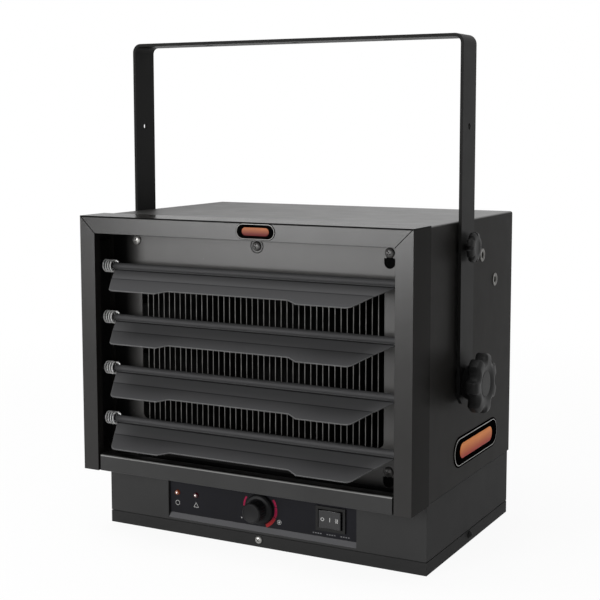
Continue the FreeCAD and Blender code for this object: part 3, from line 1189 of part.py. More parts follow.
# Intake guard: wire rings on crossed spokes with four screw tabs.
ring_step = f"(({intake_diameter} / 2 - guard_first) / (guard_rings - 1))"
spoke_y = f"({cabinet_rear} + guard_tab_wall + guard_wire / 2)"
ring_y = f"({spoke_y} + guard_wire * 0.8)"
spoke_reach = f"({guard_reach} - screw_head / 2 - 2 * free_fit)"
guard_pieces = []
for i in range(round(number("guard_rings"))):
    ring = doc.addObject("Part::Torus", f"guard_ring_{i}")
    ring.setExpression("Radius1", cell(f"guard_first + {i} * {ring_step}"))
    ring.setExpression("Radius2", cell("guard_wire / 2"))
    guard_pieces.append(put(ring, ("0", ring_y, axis_z), "rear"))
for turn in (45, 135):
    spoke = rod(f"guard_spoke_{turn}", "guard_wire", f"2 * {spoke_reach}",
                (f"-{spoke_reach} * cos({turn})", spoke_y, f"{axis_z} - {spoke_reach} * sin({turn})"))
    spoke.Placement.Rotation = Rotation(Vector(0, 1, 0), 90 - turn)
    guard_pieces.append(spoke)
for i, (x, z) in enumerate(guard_places):
    guard_pieces.append(rod(f"guard_tab_{i}", "guard_tab", "guard_tab_wall * 1.4", (x, cabinet_rear, z), "rear"))
rear_guard = cut("rear_guard", fuse("guard_welded", *guard_pieces), *screw_holes[len(rear_places):])

# Control gear on the pan's floor: terminal block and contactor.
terminal_strip = box("terminal_strip", ("terminal_length", "terminal_width", "terminal_tall"),
                     ("cable_bush_x - terminal_length", f"{base_depth} / 2 - 2.6 * terminal_width", "sheet_wall"))
terminal_slots = [box(f"terminal_slot_{i}", ("terminal_length / 6", "terminal_width * 2", "terminal_tall / 3"),
                      (f"cable_bush_x - terminal_length * {(5 - 2 * i) / 6 + 1 / 12}",
                       f"{base_depth} / 2 - 3 * terminal_width", "sheet_wall + terminal_tall * 0.75"))
                  for i in range(3)]
terminal_block = cut("terminal_block", terminal_strip, *terminal_slots)
contactor_foot = box("contactor_foot", ("contactor_width", "contactor_depth", "contactor_tall * 0.6"),
                     ("-contactor_width / 2 - contactor_depth", "-contactor_depth / 2", "sheet_wall"))
contactor_coil = box("contactor_coil", ("contactor_width * 0.7", "contactor_depth * 0.5", "contactor_tall"),
                     ("-contactor_width * 0.35 - contactor_depth", "-contactor_depth / 4", "sheet_wall"))
contactor = fuse("contactor", contactor_foot, contactor_coil)

# Over-heat switch on the back of the outlet plate.
limit_switch = turned("limit_switch", [
    ("0", "0"),
    ("limit_diameter * 0.75", "0"),
    ("limit_diameter * 0.75", "1"),
    ("limit_diameter / 2", "1"),
    ("limit_diameter / 2", "limit_height", "1"),
    ("0", "limit_height"),
], ("baffle_screw_x / 2", plate_back, f"{upper_screw_z} + limit_diameter * 0.35"), "rear")

# Snap-in bush where the supply cable enters the base.
cable_bush = turned("cable_bush", [
    ("cable_bore / 2", "-4 * sheet_wall"),
    ("cable_barrel / 2", "-4 * sheet_wall"),
    ("cable_barrel / 2 + 2 * free_fit", "-sheet_wall - free_fit"),
    ("cable_barrel / 2", "-sheet_wall - free_fit"),
    ("cable_barrel / 2", "0"),
    ("cable_flange / 2", "0"),
    ("cable_flange / 2", "cable_flange_wall", "cable_flange_wall / 2"),
    ("cable_bore / 2", "cable_flange_wall"),
], ("cable_bush_x", f"{base_depth} / 2", "cable_bush_height"), "rear")

# Screws, grouped by kind.
pan_screws = group("pan_screws",
                   pan_screw("pan_screw_front", ("0", base_front, "pan_screw_height"), "front"),
                   pan_screw("pan_screw_rear", ("0", f"{base_depth} / 2", "pan_screw_height"), "rear"),
                   pan_screw("pan_screw_left", (f"-{base_width} / 2", "0", "pan_screw_height"), "left"),
                   pan_screw("pan_screw_right", (f"{base_width} / 2", "0", "pan_screw_height"), "right"))
baffle_screws_zinc = group("baffle_screws_zinc", *[
    pan_screw(f"zinc_screw_{i}", (x, cabinet_front, z), "front") for i, (x, z) in enumerate(zinc_places)])
baffle_screws_black = group("baffle_screws_black", *[
    pan_screw(f"black_screw_{i}", (x, cabinet_front, z), "front") for i, (x, z) in enumerate(black_places)])
rear_screws = group("rear_screws", *[
    pan_screw(f"rear_screw_{i}", (x, cabinet_rear, z), "rear") for i, (x, z) in enumerate(rear_places)])
guard_screws = group("guard_screws", *[
    pan_screw(f"guard_screw_{i}", (x, f"{cabinet_rear} + guard_tab_wall * 1.4", z), "rear")
    for i, (x, z) in enumerate(guard_places)])


# Bare round-ended plates on the top rail and on the right side.

def plate(name, length, height, rounding, at, turn):
    body = new_body(name, at, turn)
    sketch = new_sketch(body, "XY_Plane")
    rectangle(sketch, f"-{length} / 2", f"-{height} / 2", f"{length} / 2", f"{height} / 2", f"{rounding} * 0.49")
    pad(body, sketch, "badge_wall")
    return body


front_badge = plate("front_badge", "badge_width", "badge_tall", "badge_tall",
                    ("badge_x", hood_front, f"{hood_top} - rail_height / 2"), "front")
side_badge = plate("side_badge", "side_badge_tall", "side_badge_width", "side_badge_tall",
                   (cabinet_side, f"{cabinet_front} + side_badge_back", f"{floor_top} + side_badge_rise"), "right")

doc.recompute()

nodes = [
    bottom_pan, base_shell, floor_plate, cabinet_shell, rear_panel, front_baffle, slot_covers, outlet_guard,
    bezel_frame, bezel_bottom_rail, *louvre_rails, *louvres, louvre_bushes, louvre_springs,
    bracket, pivot_nuts, pivot_discs, *pivot_washers, *pivot_knobs, rivet_nuts, *lock_washers, *lock_knobs,
    control_overlay, thermostat_body, thermostat_shaft, thermostat_knob, rocker_housing, rocker_button,
    power_lamp, fault_lamp, *heating_rods, *rod_plates, fan_blade, motor_shaft, fan_motor, motor_mount,
    fan_shroud, rear_guard, terminal_block, contactor, limit_switch, cable_bush,
    pan_screws, baffle_screws_zinc, baffle_screws_black, rear_screws, guard_screws, front_badge, side_badge,
]

for item in doc.Objects:
    if "Invalid" in item.State or "Error" in item.State:
        raise RuntimeError(f"{item.Label} failed: {item.State}")
for node in nodes:
    if node.Shape.isNull() or not node.Shape.isValid() or not node.Shape.Solids:
        raise RuntimeError(f"{node.Label} has no valid solid")
for node in nodes:
    node.Shape.exportStep(os.path.join("parts", node.Label + ".step"))
print(f"{len(nodes)} nodes written")
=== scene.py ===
import json
import math

import bmesh
import bpy
from mathutils import Matrix, Vector


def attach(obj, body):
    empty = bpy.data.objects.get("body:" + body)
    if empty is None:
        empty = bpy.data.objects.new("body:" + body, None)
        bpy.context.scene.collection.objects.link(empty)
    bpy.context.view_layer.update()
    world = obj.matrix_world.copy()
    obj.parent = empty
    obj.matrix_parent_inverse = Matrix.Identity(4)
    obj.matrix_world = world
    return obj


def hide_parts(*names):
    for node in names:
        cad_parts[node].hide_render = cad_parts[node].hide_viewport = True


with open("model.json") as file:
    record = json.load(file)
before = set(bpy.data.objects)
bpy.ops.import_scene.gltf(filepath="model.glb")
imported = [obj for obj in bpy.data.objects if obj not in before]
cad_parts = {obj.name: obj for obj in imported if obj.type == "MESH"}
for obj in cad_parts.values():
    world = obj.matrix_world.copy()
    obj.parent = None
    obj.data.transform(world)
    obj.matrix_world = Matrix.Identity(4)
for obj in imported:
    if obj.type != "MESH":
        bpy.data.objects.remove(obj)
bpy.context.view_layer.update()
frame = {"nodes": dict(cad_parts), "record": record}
nodes = frame["nodes"]
bodyOf = {}
for bodyName, members in frame["record"]["behaviour"]["bodies"].items():
    for member in members:
        bodyOf[member] = bodyName
scene = bpy.context.scene
mm = 0.001
print("frame loaded,", len(nodes), "nodes")


# helpers for objects and node trees

def linked(name, data):
    item = bpy.data.objects.new(name, data)
    scene.collection.objects.link(item)
    return item


def addNode(tree, kind, feeds, **settings):
    # a node with its settings, each input fed by another node's socket or by a plain value
    node = tree.nodes.new(kind)
    for setting, value in settings.items():
        setattr(node, setting, value)
    for socket, source in feeds.items():
        if isinstance(source, bpy.types.NodeSocket):
            tree.links.new(source, node.inputs[socket])
        else:
            node.inputs[socket].default_value = source
    return node


# finishes

plainFinish = {"metal": 0.0, "ior": 1.5, "coat": 0.0, "coatRough": 0.2, "specular": 0.5, "stretch": (1, 1, 1),
               "patch": 14, "patchDetail": 4, "smudge": 45, "smudgeDetail": 3, "grainDetail": 2,
               "bumpDepth": 0.0002, "toneEnds": (0.32, 0.68), "upEnds": (0.4, 0.8), "sideEnds": (0.4, 0.9),
               "fades": []}
plainSockets = {"Metallic": "metal", "IOR": "ior", "Coat Weight": "coat", "Coat Roughness": "coatRough",
                "Specular IOR Level": "specular"}


def tint(code):
    channels = [int(code[i:i + 2], 16) / 255 for i in (1, 3, 5)]
    linear = [c / 12.92 if c <= 0.04045 else ((c + 0.055) / 1.055) ** 2.4 for c in channels]
    return (*linear, 1.0)


def finish(name, ownLook):
    # two tones in soft patches, uneven gloss and a fine grain, all on object coordinates
    look = {**plainFinish, **ownLook}
    material = bpy.data.materials.new(name)
    material.use_nodes = True
    tree = material.node_tree
    shader = tree.nodes["Principled BSDF"]
    for socket, key in plainSockets.items():
        shader.inputs[socket].default_value = look[key]
    place = tree.nodes.new("ShaderNodeTexCoord")

    def ranged(value, fromEnds, toEnds):
        return addNode(tree, "ShaderNodeMapRange", {
            "Value": value, "From Min": fromEnds[0], "From Max": fromEnds[1], "To Min": toEnds[0],
            "To Max": toEnds[1]}).outputs["Result"]

    def axisOf(source, axis):
        return addNode(tree, "ShaderNodeSeparateXYZ", {"Vector": place.outputs[source]}).outputs[axis]

    def mixed(factor, first, code):
        return addNode(tree, "ShaderNodeMix", {"Factor": factor, "A": first, "B": tint(code)},
                       data_type="RGBA").outputs["Result"]

    def blended(factor, first, number):
        return addNode(tree, "ShaderNodeMix", {"Factor": factor, "A": first, "B": number}).outputs["Result"]

    if "upwardLightShade" in look:  # how far a face looks up
        upward = ranged(axisOf("Normal", "Z"), look["upEnds"], (0, 1))
        if "upBelow" in look:  # only on ledges under this height
            edge = look["upBelow"] * mm
            low = ranged(axisOf("Object", "Z"), (edge, edge + mm), (1, 0))
            upward = addNode(tree, "ShaderNodeMath", {0: upward, 1: low}, operation="MULTIPLY").outputs[0]
    fades = []  # how far each fade has run along its axis
    for fade in look["fades"]:
        ends = (fade["from"] * mm, fade["to"] * mm)
        fades.append((fade, ranged(axisOf("Object", fade.get("axis", "Z")), ends, (0, 1))))
    if "sideShadeSpecular" in look:  # painted shade: the left and right faces reflect less than the others, so they look darker
        sideways = addNode(tree, "ShaderNodeMath", {0: axisOf("Normal", "X")}, operation="ABSOLUTE")
        sheen = look["specular"]
        for fade, run in fades:
            if "specular" in fade:
                sheen = blended(run, sheen, fade["specular"])
        sheen = blended(ranged(sideways.outputs[0], look["sideEnds"], (0, 1)), sheen, look["sideShadeSpecular"])
        if "upSpecular" in look:
            sheen = blended(upward, sheen, look["upSpecular"])
        tree.links.new(sheen, shader.inputs["Specular IOR Level"])
    stretch = addNode(tree, "ShaderNodeMapping", {
        "Vector": place.outputs["Object"], "Scale": look["stretch"]})

    def noise(kind):
        return addNode(tree, "ShaderNodeTexNoise", {
            "Vector": stretch.outputs["Vector"], "Scale": look[kind],
            "Detail": look[kind + "Detail"]}).outputs["Fac"]

    tones = addNode(tree, "ShaderNodeValToRGB", {"Fac": noise("patch")})
    for stop, end, key in zip(tones.color_ramp.elements, look["toneEnds"], ("shade", "tone")):
        stop.position = end
        stop.color = tint(look[key])
    colour = tones.outputs["Color"]
    for fade, run in fades:  # runs into another colour along the piece
        colour = mixed(run, colour, fade["colour"])
    if "upwardLightShade" in look:  # painted light and shade on faces that look up: light grey on the base's ledge under the control panel, near black on the bottom rail's top
        colour = mixed(upward, colour, look["upwardLightShade"])
    tree.links.new(colour, shader.inputs["Base Color"])
    tree.links.new(ranged(noise("smudge"), (0, 1), look["rough"]), shader.inputs["Roughness"])
    bump = addNode(tree, "ShaderNodeBump", {
        "Strength": look["bump"], "Distance": look["bumpDepth"], "Height": noise("grain")})
    tree.links.new(bump.outputs["Normal"], shader.inputs["Normal"])
    if "glow" in look:
        shader.inputs["Emission Color"].default_value = tint(look["glow"])
        shader.inputs["Emission Strength"].default_value = look["glowStrength"]
    return material


sheetPaint = {"rough": (0.4, 0.48), "grain": 1100, "bump": 0.14}
smallMetal = {"patch": 200, "grain": 1600, "bump": 0.06}
lampGlass = {"rough": (0.1, 0.16), "patch": 300, "grain": 1200}
printInk = {"rough": (0.42, 0.52), "patch": 200, "grain": 2400, "bump": 0.04}
badgeEnamel = {"rough": (0.3, 0.4), "grain": 1800, "bump": 0.05}
edgePaint = {"rough": (0.4, 0.5), "patch": 40, "grain": 1300, "bump": 0.08}
bareSteel = {"metal": 1.0, "grain": 900, "bump": 0.05}
blackPlastic = {"grain": 2200, "bumpDepth": 0.00015}
looks = {  # fades run between two places in millimetres, up the piece unless an axis is given; a low side specular paints shade on the left and right faces
    "cabinetPaint": {**sheetPaint, "tone": "#201f1e", "shade": "#1b1a19", "rough": (0.36, 0.46),
                     "specular": 0.08, "sideShadeSpecular": 0.024,
                     # painted reflection: the gloss grows from the left end to the right end, so the top
                     # looks brighter on the right
                     "fades": [{"axis": "X", "from": -190, "to": 190, "colour": "#201f1e", "specular": 1.0}]},
    "hoodPaint": {**sheetPaint, "tone": "#1e1d1c", "shade": "#1b1a19", "rough": (0.2, 0.26), "specular": 0.32,
                  "sideShadeSpecular": 0.008, "upwardLightShade": "#201f1e", "upSpecular": 0.025,
                  "fades": [{"from": 319.2, "to": 319.8, "colour": "#0c0c0c", "specular": 0.0}]},  # painted shade line under the top fold
    # painted light on the ledge under the control panel, which looks up
    "basePaint": {**sheetPaint, "tone": "#313131", "shade": "#2c2c2c", "specular": 0.12, "sideShadeSpecular": 0.02,
                  "upwardLightShade": "#77777a", "upBelow": 50},
    # painted shade on the rail's faces that look up
    "lipPaint": {**sheetPaint, "tone": "#343434", "shade": "#2f2f2f", "specular": 0.12, "upwardLightShade": "#0a0a0a",
                 "fades": [{"from": 80.7, "to": 81.1, "colour": "#7c7c7b"}]},  # painted highlight along the rail's top front edge
    "panPaint": {**sheetPaint, "tone": "#262626", "shade": "#212121", "specular": 0.12, "sideShadeSpecular": 0.02},
    # painted light and shade across each blade: dark under the rolled edge, a lighter band, dark along the
    # crease, then the blade's own tone
    "louvrePaint": {**sheetPaint, "tone": "#434344", "shade": "#3d3d3e", "rough": (0.5, 0.58), "bump": 0.12,
                    "specular": 0.14, "stretch": (0.3, 1, 1),
                    "fades": [{"axis": "Y", "from": -130.1, "to": -130.4, "colour": "#1c1c1d"},  # painted shade line under the rolled edge
                              # painted lighter band below the rolled edge
                              {"axis": "Y", "from": -131.8, "to": -132.3, "colour": "#535354"},
                              {"axis": "Y", "from": -151.2, "to": -151.4, "colour": "#2a2a2b"},  # painted shade line along the crease
                              {"axis": "Y", "from": -152.8, "to": -153, "colour": "#434344"}]},
    # painted highlight along the blades' broken edges
    "louvreEdge": {**edgePaint, "tone": "#707070", "shade": "#666666", "bump": 0.06, "specular": 0.2},
    "strapPaint": {**sheetPaint, "tone": "#191918", "shade": "#151515", "grain": 1300, "bump": 0.12,
                   "specular": 0.05},
    "bafflePaint": {**sheetPaint, "tone": "#454443", "shade": "#3f3e3d", "rough": (0.26, 0.28), "bump": 0.1,
                    "specular": 0.3, "sideShadeSpecular": 0.1,
                    # painted shade at the foot, under the last louvre
                    "fades": [{"from": 88, "to": 77, "colour": "#0a0a0a"},
                              # painted shadow of the hood's left side on the left end
                              {"axis": "X", "from": -128, "to": -152, "colour": "#121212", "specular": 0.03},
                              # painted shade under the top rail
                              {"from": 298.6, "to": 301.4, "colour": "#101010", "specular": 0.02}]},
    "edgeShade": {**edgePaint, "tone": "#171716", "shade": "#121211", "specular": 0.06},
    # near black, painted shade: in the keyholes behind the outlet plate and on the floor plate that shows
    # through the seam between cabinet and base
    "slotShade": {**edgePaint, "tone": "#070707", "shade": "#050505", "rough": (0.7, 0.8), "patch": 60,
                  "specular": 0.02},
    "railPaint": {**sheetPaint, "tone": "#0f0f0f", "shade": "#0d0d0d", "rough": (0.5, 0.6), "bump": 0.1,
                  "specular": 0.2},
    "rivetZinc": {**smallMetal, "tone": "#6e6d6a", "shade": "#5c5b58", "rough": (0.34, 0.46), "metal": 0.5,
                  "specular": 0.2},
    "brightZinc": {**smallMetal, "tone": "#d6d6d4", "shade": "#b9bab9", "rough": (0.2, 0.34), "metal": 1.0,
                   "patch": 160},
    "screwZinc": {**smallMetal, "tone": "#a9a8a5", "shade": "#8e8d8a", "rough": (0.28, 0.38), "metal": 0.7,
                  "specular": 0.3},
    "blackScrew": {**smallMetal, "tone": "#565554", "shade": "#454443", "rough": (0.26, 0.36), "metal": 0.3,
                   "grain": 1800},
    "springWire": {**smallMetal, "tone": "#ffffff", "shade": "#f1f1ef", "rough": (0.14, 0.22), "metal": 0.1,
                   "patch": 400, "grain": 2200},
    "galvanised": {**bareSteel, "tone": "#8b8d8f", "shade": "#6f7173", "rough": (0.36, 0.52), "patch": 60,
                   "grain": 700, "bump": 0.06},
    # painted highlight on the outlet bars' front faces
    "barEdge": {**bareSteel, "tone": "#6e6d6b", "shade": "#464544", "rough": (0.34, 0.48), "metal": 0.3,
                "patch": 90},
    "barSide": {"tone": "#101010", "shade": "#0b0b0b", "rough": (0.5, 0.62), "patch": 60, "grain": 900,
                "bump": 0.06, "specular": 0.15},
    "knobPlastic": {**blackPlastic, "tone": "#161616", "shade": "#121212", "rough": (0.42, 0.54),
                    "bump": 0.16, "specular": 0.16},
    "dialPlastic": {**blackPlastic, "tone": "#1f1f20", "shade": "#1b1b1c", "rough": (0.4, 0.5),
                    "bump": 0.14, "specular": 0.1},
    "glossPlastic": {"tone": "#141416", "shade": "#111112", "rough": (0.24, 0.32), "grain": 1500,
                     "bump": 0.05},
    "overlayFilm": {"tone": "#1b1b1f", "shade": "#18181b", "rough": (0.46, 0.54), "grain": 2600, "bump": 0.08,
                    "specular": 0.06},
    "amberLens": {**lampGlass, "tone": "#6e3210", "shade": "#4c2008", "bump": 0.03, "coat": 0.6,
                  "glow": "#8a3a08", "glowStrength": 0.2},
    "redLens": {**lampGlass, "tone": "#300a12", "shade": "#22070c", "bump": 0.03, "coat": 0.6,
                "glow": "#5a0c18", "glowStrength": 0.15},
    # painted glint: a white dot that glows
    "lampCore": {**lampGlass, "tone": "#ffffff", "shade": "#f4efe8", "bump": 0.02, "glow": "#fff4e6",
                 "glowStrength": 0.9},
    "rodSheath": {**bareSteel, "tone": "#57524d", "shade": "#403c39", "rough": (0.4, 0.56), "patch": 40,
                  "grain": 800, "bump": 0.08, "stretch": (1, 4, 4)},
    "fanSheet": {**bareSteel, "tone": "#a9abad", "shade": "#94979a", "rough": (0.28, 0.42), "patch": 30},
    "motorEnamel": {"tone": "#1f2022", "shade": "#1a1b1c", "rough": (0.38, 0.5), "grain": 900, "bump": 0.1},
    "paleMoulding": {"tone": "#d9d5c8", "shade": "#cfcabb", "rough": (0.42, 0.54), "grain": 1500,
                     "bump": 0.08},
    "redPrint": {**printInk, "tone": "#8e1a3e", "shade": "#801636", "specular": 0.06,
                 "fades": [{"from": 34, "to": 26, "colour": "#962a2c"}]},
    "palePrint": {**printInk, "tone": "#b9b9b8", "shade": "#a6a6a5"},
    "greyPrint": {**printInk, "tone": "#5e5e60", "shade": "#525254"},
    "silverRim": {"tone": "#a6a5a2", "shade": "#979694", "rough": (0.24, 0.34), "metal": 0.3, "patch": 120,
                  "grain": 1500, "bump": 0.04},
    "badgeFace": {**badgeEnamel, "tone": "#060505", "shade": "#040404", "rough": (0.4, 0.5), "patch": 80,
                  "specular": 0.0},
    "frontInlay": {**badgeEnamel, "tone": "#9c5f40", "shade": "#92583a", "patch": 60, "specular": 0.08,
                   "fades": [{"from": 315, "to": 310, "colour": "#5a2120"}]},
    "sideInlay": {**badgeEnamel, "tone": "#f59a56", "shade": "#ec8e4c", "patch": 40, "specular": 0.04,
                  "fades": [{"from": 103, "to": 92, "colour": "#b03a2a"}]},
}
paints = {name: finish(name, look) for name, look in looks.items()}
print("finishes made:", len(paints))


# placing pieces

meshRules = {"weld": 1e-7, "smoothUnder": 35}
toMetres = Matrix.Scale(mm, 4)


def addPiece(name, mesh, paint, body, replaced=()):
    piece = linked(name, mesh)
    if paint is not None:
        mesh.materials.clear()
        mesh.materials.append(paints[paint])
    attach(piece, body)
    if replaced:
        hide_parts(*replaced)


def smoothByAngle(mesh, degrees=meshRules["smoothUnder"]):
    for face in mesh.polygons:
        face.use_smooth = True
    mesh.set_sharp_from_angle(angle=math.radians(degrees))


def bakeModifiers(piece):
    # the modifiers' result becomes a plain mesh
    graph = bpy.context.evaluated_depsgraph_get()
    mesh = bpy.data.meshes.new_from_object(piece.evaluated_get(graph))
    bpy.data.objects.remove(piece)
    return mesh


def facing(place, direction):
    # millimetres to metres, +Z turned towards the direction, then moved to the place
    turn = Vector(direction).to_track_quat("Z", "Y").to_matrix().to_4x4()
    return Matrix.Translation(Vector(place) * mm) @ turn @ toMetres


def meshOf(name, work, degrees=meshRules["smoothUnder"]):
    # a finished bmesh as a mesh with its faces turned outwards
    bmesh.ops.remove_doubles(work, verts=work.verts, dist=meshRules["weld"])
    bmesh.ops.recalc_face_normals(work, faces=work.faces)
    mesh = bpy.data.meshes.new(name)
    work.to_mesh(mesh)
    work.free()
    smoothByAngle(mesh, degrees)
    return mesh


def addRings(work, rings, place, slots=None):
    # skins closed rings of points one after another; a ring of one point is a pole
    rows = [[work.verts.new(place @ Vector(point)) for point in ring] for ring in rings]
    for i, (low, high) in enumerate(zip(rows, rows[1:])):
        count = max(len(low), len(high))
        for k in range(count):
            after = (k + 1) % count
            corners = [low[k % len(low)], low[after % len(low)], high[after % len(high)], high[k % len(high)]]
            face = work.faces.new(list(dict.fromkeys(corners)))
            if slots:
                face.material_index = slots[i]
    for ends in (rows[0], rows[-1]):
        if len(ends) > 2:
            face = work.faces.new(ends)
            if slots:
                face.material_index = slots[0] if ends is rows[0] else slots[-1]


def roundRing(radius, height, count):
    if radius == 0:
        return [(0, 0, height)]
    turns = [2 * math.pi * k / count for k in range(count)]
    return [(radius * math.cos(t), radius * math.sin(t), height) for t in turns]


def boxRing(x, y0, y1, height):
    return [(-x, y0, height), (x, y0, height), (x, y1, height), (-x, y1, height)]


# geometry nodes

frontFacing = -0.8  # a face looks to the front when its normal's y is under this


def newTree(name, sockets):
    tree = bpy.data.node_groups.new(name, "GeometryNodeTree")
    tree.interface.new_socket("Geometry", in_out="INPUT", socket_type="NodeSocketGeometry")
    tree.interface.new_socket("Geometry", in_out="OUTPUT", socket_type="NodeSocketGeometry")
    marks = {}
    for label, kind in sockets.items():
        socket = tree.interface.new_socket(label, in_out="INPUT", socket_type="NodeSocket" + kind)
        marks[label] = socket.identifier
    return tree, marks, tree.nodes.new("NodeGroupInput").outputs, tree.nodes.new("NodeGroupOutput")


def closeTree(tree, geometry, material, end, frontHighlight=None):
    # every tree ends in real geometry with its finish; faces towards -Y may take a painted highlight of their
    # own
    real = addNode(tree, "GeometryNodeRealizeInstances", {"Geometry": geometry})
    painted = addNode(tree, "GeometryNodeSetMaterial", {"Geometry": real.outputs[0], "Material": material})
    if frontHighlight:
        normal = addNode(tree, "GeometryNodeInputNormal", {})
        axes = addNode(tree, "ShaderNodeSeparateXYZ", {"Vector": normal.outputs["Normal"]})
        faced = addNode(tree, "FunctionNodeCompare", {0: axes.outputs["Y"], 1: frontFacing},
                        operation="LESS_THAN")
        painted = addNode(tree, "GeometryNodeSetMaterial", {
            "Geometry": painted.outputs[0], "Selection": faced.outputs[0], "Material": frontHighlight})
    tree.links.new(painted.outputs[0], end.inputs["Geometry"])


def joined(tree, *parts):
    node = tree.nodes.new("GeometryNodeJoinGeometry")
    for part in parts:
        tree.links.new(part, node.inputs[0])
    return node.outputs[0]


def grown(tree, marks, base, values):
    holder = linked(tree.name + "Base", base)
    modifier = holder.modifiers.new(tree.name, "NODES")
    modifier.node_group = tree
    for label, value in values.items():
        modifier[marks[label]] = value
    return bakeModifiers(holder)


# folded sheets and mouldings: the solid's own shape with its edges broken

sheetEdges = {"weld": 0.000002, "flatUnder": 0.6, "bevelOver": 32, "segments": 2, "flatWeight": 100,
              "creaseOver": 2, "creaseArea": 1000, "slot": "charcoal_paint"}
carrierRail = {"paint": "railPaint", "edge": 0.3}
louvreBlade = {"paint": "louvrePaint", "edge": 0.35, "edgePaint": "louvreEdge"}
rodPlate = {"paint": "barSide", "edge": 0.25, "slot": "galvanised"}
foldedSheets = {
    "bezel_frame": {"paint": "hoodPaint", "edge": 0.5, "edgePaint": "edgeShade"},
    "bezel_bottom_rail": {"paint": "lipPaint", "edge": 0.45, "edgePaint": "edgeShade"},
    "cabinet_shell": {"paint": "cabinetPaint", "edge": 0.3, "edgePaint": "edgeShade"},
    "base_shell": {"paint": "basePaint", "edge": 0.4, "edgePaint": "edgeShade"},
    "bottom_pan": {"paint": "panPaint", "edge": 0.45, "edgePaint": "edgeShade"},
    "front_baffle": {"paint": "bafflePaint", "edge": 0.3},
    "slot_covers": {"paint": "slotShade", "edge": 0.2, "slot": "galvanised"},
    "rear_panel": {"paint": "cabinetPaint", "edge": 0.3},
    "floor_plate": {"paint": "slotShade", "edge": 0.25, "slot": "galvanised"},
    "louvre_rail_left": carrierRail, "louvre_rail_right": carrierRail,
    "louvre_1": louvreBlade, "louvre_2": louvreBlade, "louvre_3": louvreBlade, "louvre_4": louvreBlade,
    "bracket": {"paint": "strapPaint", "edge": 0.5, "edgePaint": "edgeShade", "slot": "black_paint"},
    "rod_plate_left": rodPlate, "rod_plate_right": rodPlate,
    "motor_mount": {"paint": "galvanised", "edge": 0.3, "slot": "galvanised"},
    "fan_shroud": {"paint": "galvanised", "edge": 0.25, "slot": "galvanised"},
    "fan_blade": {"paint": "fanSheet", "edge": 0.3, "slot": "fan_sheet"},
    "fan_motor": {"paint": "motorEnamel", "edge": 0.8, "slot": "motor_paint"},
    "thermostat_body": {"paint": "knobPlastic", "edge": 0.8, "slot": "black_plastic"},
    "rocker_housing": {"paint": "knobPlastic", "edge": 0.45, "slot": "black_plastic"},
    "rocker_button": {"paint": "glossPlastic", "edge": 0.5, "slot": "black_gloss"},
    "control_overlay": {"paint": "overlayFilm", "edge": 0.15, "slot": "overlay_print"},
    "terminal_block": {"paint": "paleMoulding", "edge": 0.6, "slot": "white_plastic"},
    "contactor": {"paint": "knobPlastic", "edge": 0.8, "slot": "black_plastic"},
    "cable_bush": {"paint": "knobPlastic", "edge": 0.4, "slot": "black_plastic"},
    "limit_switch": {"paint": "brightZinc", "edge": 0.4, "slot": "zinc_steel"},
    "pivot_nuts": {"paint": "brightZinc", "edge": 0.4, "slot": "zinc_steel"},
    "pivot_discs": {"paint": "knobPlastic", "edge": 0.3, "slot": "black_plastic"},
}


def brokenEdges(node, look):
    mesh = nodes[node].data.copy()
    work = bmesh.new()
    work.from_mesh(mesh)
    bmesh.ops.remove_doubles(work, verts=work.verts, dist=sheetEdges["weld"])
    bmesh.ops.dissolve_limit(work, angle_limit=math.radians(sheetEdges["flatUnder"]), verts=work.verts,
                             edges=work.edges)
    for face in work.faces:
        face.smooth = True
        face.material_index = 0
    for edge in work.edges:  # shallow creases between wide flats stay crisp
        if len(edge.link_faces) == 2 and edge.calc_face_angle(0) > math.radians(sheetEdges["creaseOver"]):
            if min(face.calc_area() for face in edge.link_faces) > sheetEdges["creaseArea"] * mm * mm:
                edge.smooth = False
    work.to_mesh(mesh)
    work.free()
    mesh.materials.clear()
    mesh.materials.append(paints[look["paint"]])
    piece = linked(node + "_edges", mesh)
    bevel = piece.modifiers.new("edges", "BEVEL")
    bevel.width = look["edge"] * mm
    bevel.segments = sheetEdges["segments"]
    bevel.limit_method = "ANGLE"
    bevel.angle_limit = math.radians(sheetEdges["bevelOver"])
    # the bevels may take a paint of their own: painted shade lines on most sheets, a painted highlight on the
    # louvre blades
    if "edgePaint" in look:
        mesh.materials.append(paints[look["edgePaint"]])
        bevel.material = 1
    weighted = piece.modifiers.new("flats", "WEIGHTED_NORMAL")  # keeps the big flats flat
    weighted.keep_sharp = True
    weighted.weight = sheetEdges["flatWeight"]
    addPiece(node + "_sheet", bakeModifiers(piece), None, bodyOf[node], (node,))


for node, look in foldedSheets.items():
    brokenEdges(node, look)
print("folded sheets dressed:", len(foldedSheets))

# plain nodes that keep their solids and get a finish
keptNodes = {
    "louvre_bushes": "brightZinc", "pivot_washer_left": "strapPaint", "pivot_washer_right": "strapPaint",
    "lock_washer_left": "brightZinc", "lock_washer_right": "brightZinc", "motor_shaft": "brightZinc",
    "thermostat_shaft": "brightZinc", "heating_rod_1": "rodSheath", "heating_rod_2": "rodSheath",
    "heating_rod_3": "rodSheath",
}
for node, paint in keptNodes.items():
    nodes[node].data.materials.clear()
    nodes[node].data.materials.append(paints[paint])
    smoothByAngle(nodes[node].data)

# louvre springs: one wire bent along a path, swept and repeated down the left rail

louvreSprings = {"railFace": -170.8, "axisY": -126.5, "topZ": 269.5, "spacing": 51.6, "count": 4, "coil": 5.9,
                 "wire": 0.75, "wireSides": 10, "pitch": 2.9, "turns": 4.25, "turnSteps": 28, "lead": 3.9,
                 "entry": 50, "entrySteps": 12, "entryEase": 0.7, "hook": 5.2, "hookSteps": 14,
                 "hookEase": 1.5, "hookIn": 2.1, "hookDrop": 1.5, "dropEase": 4}


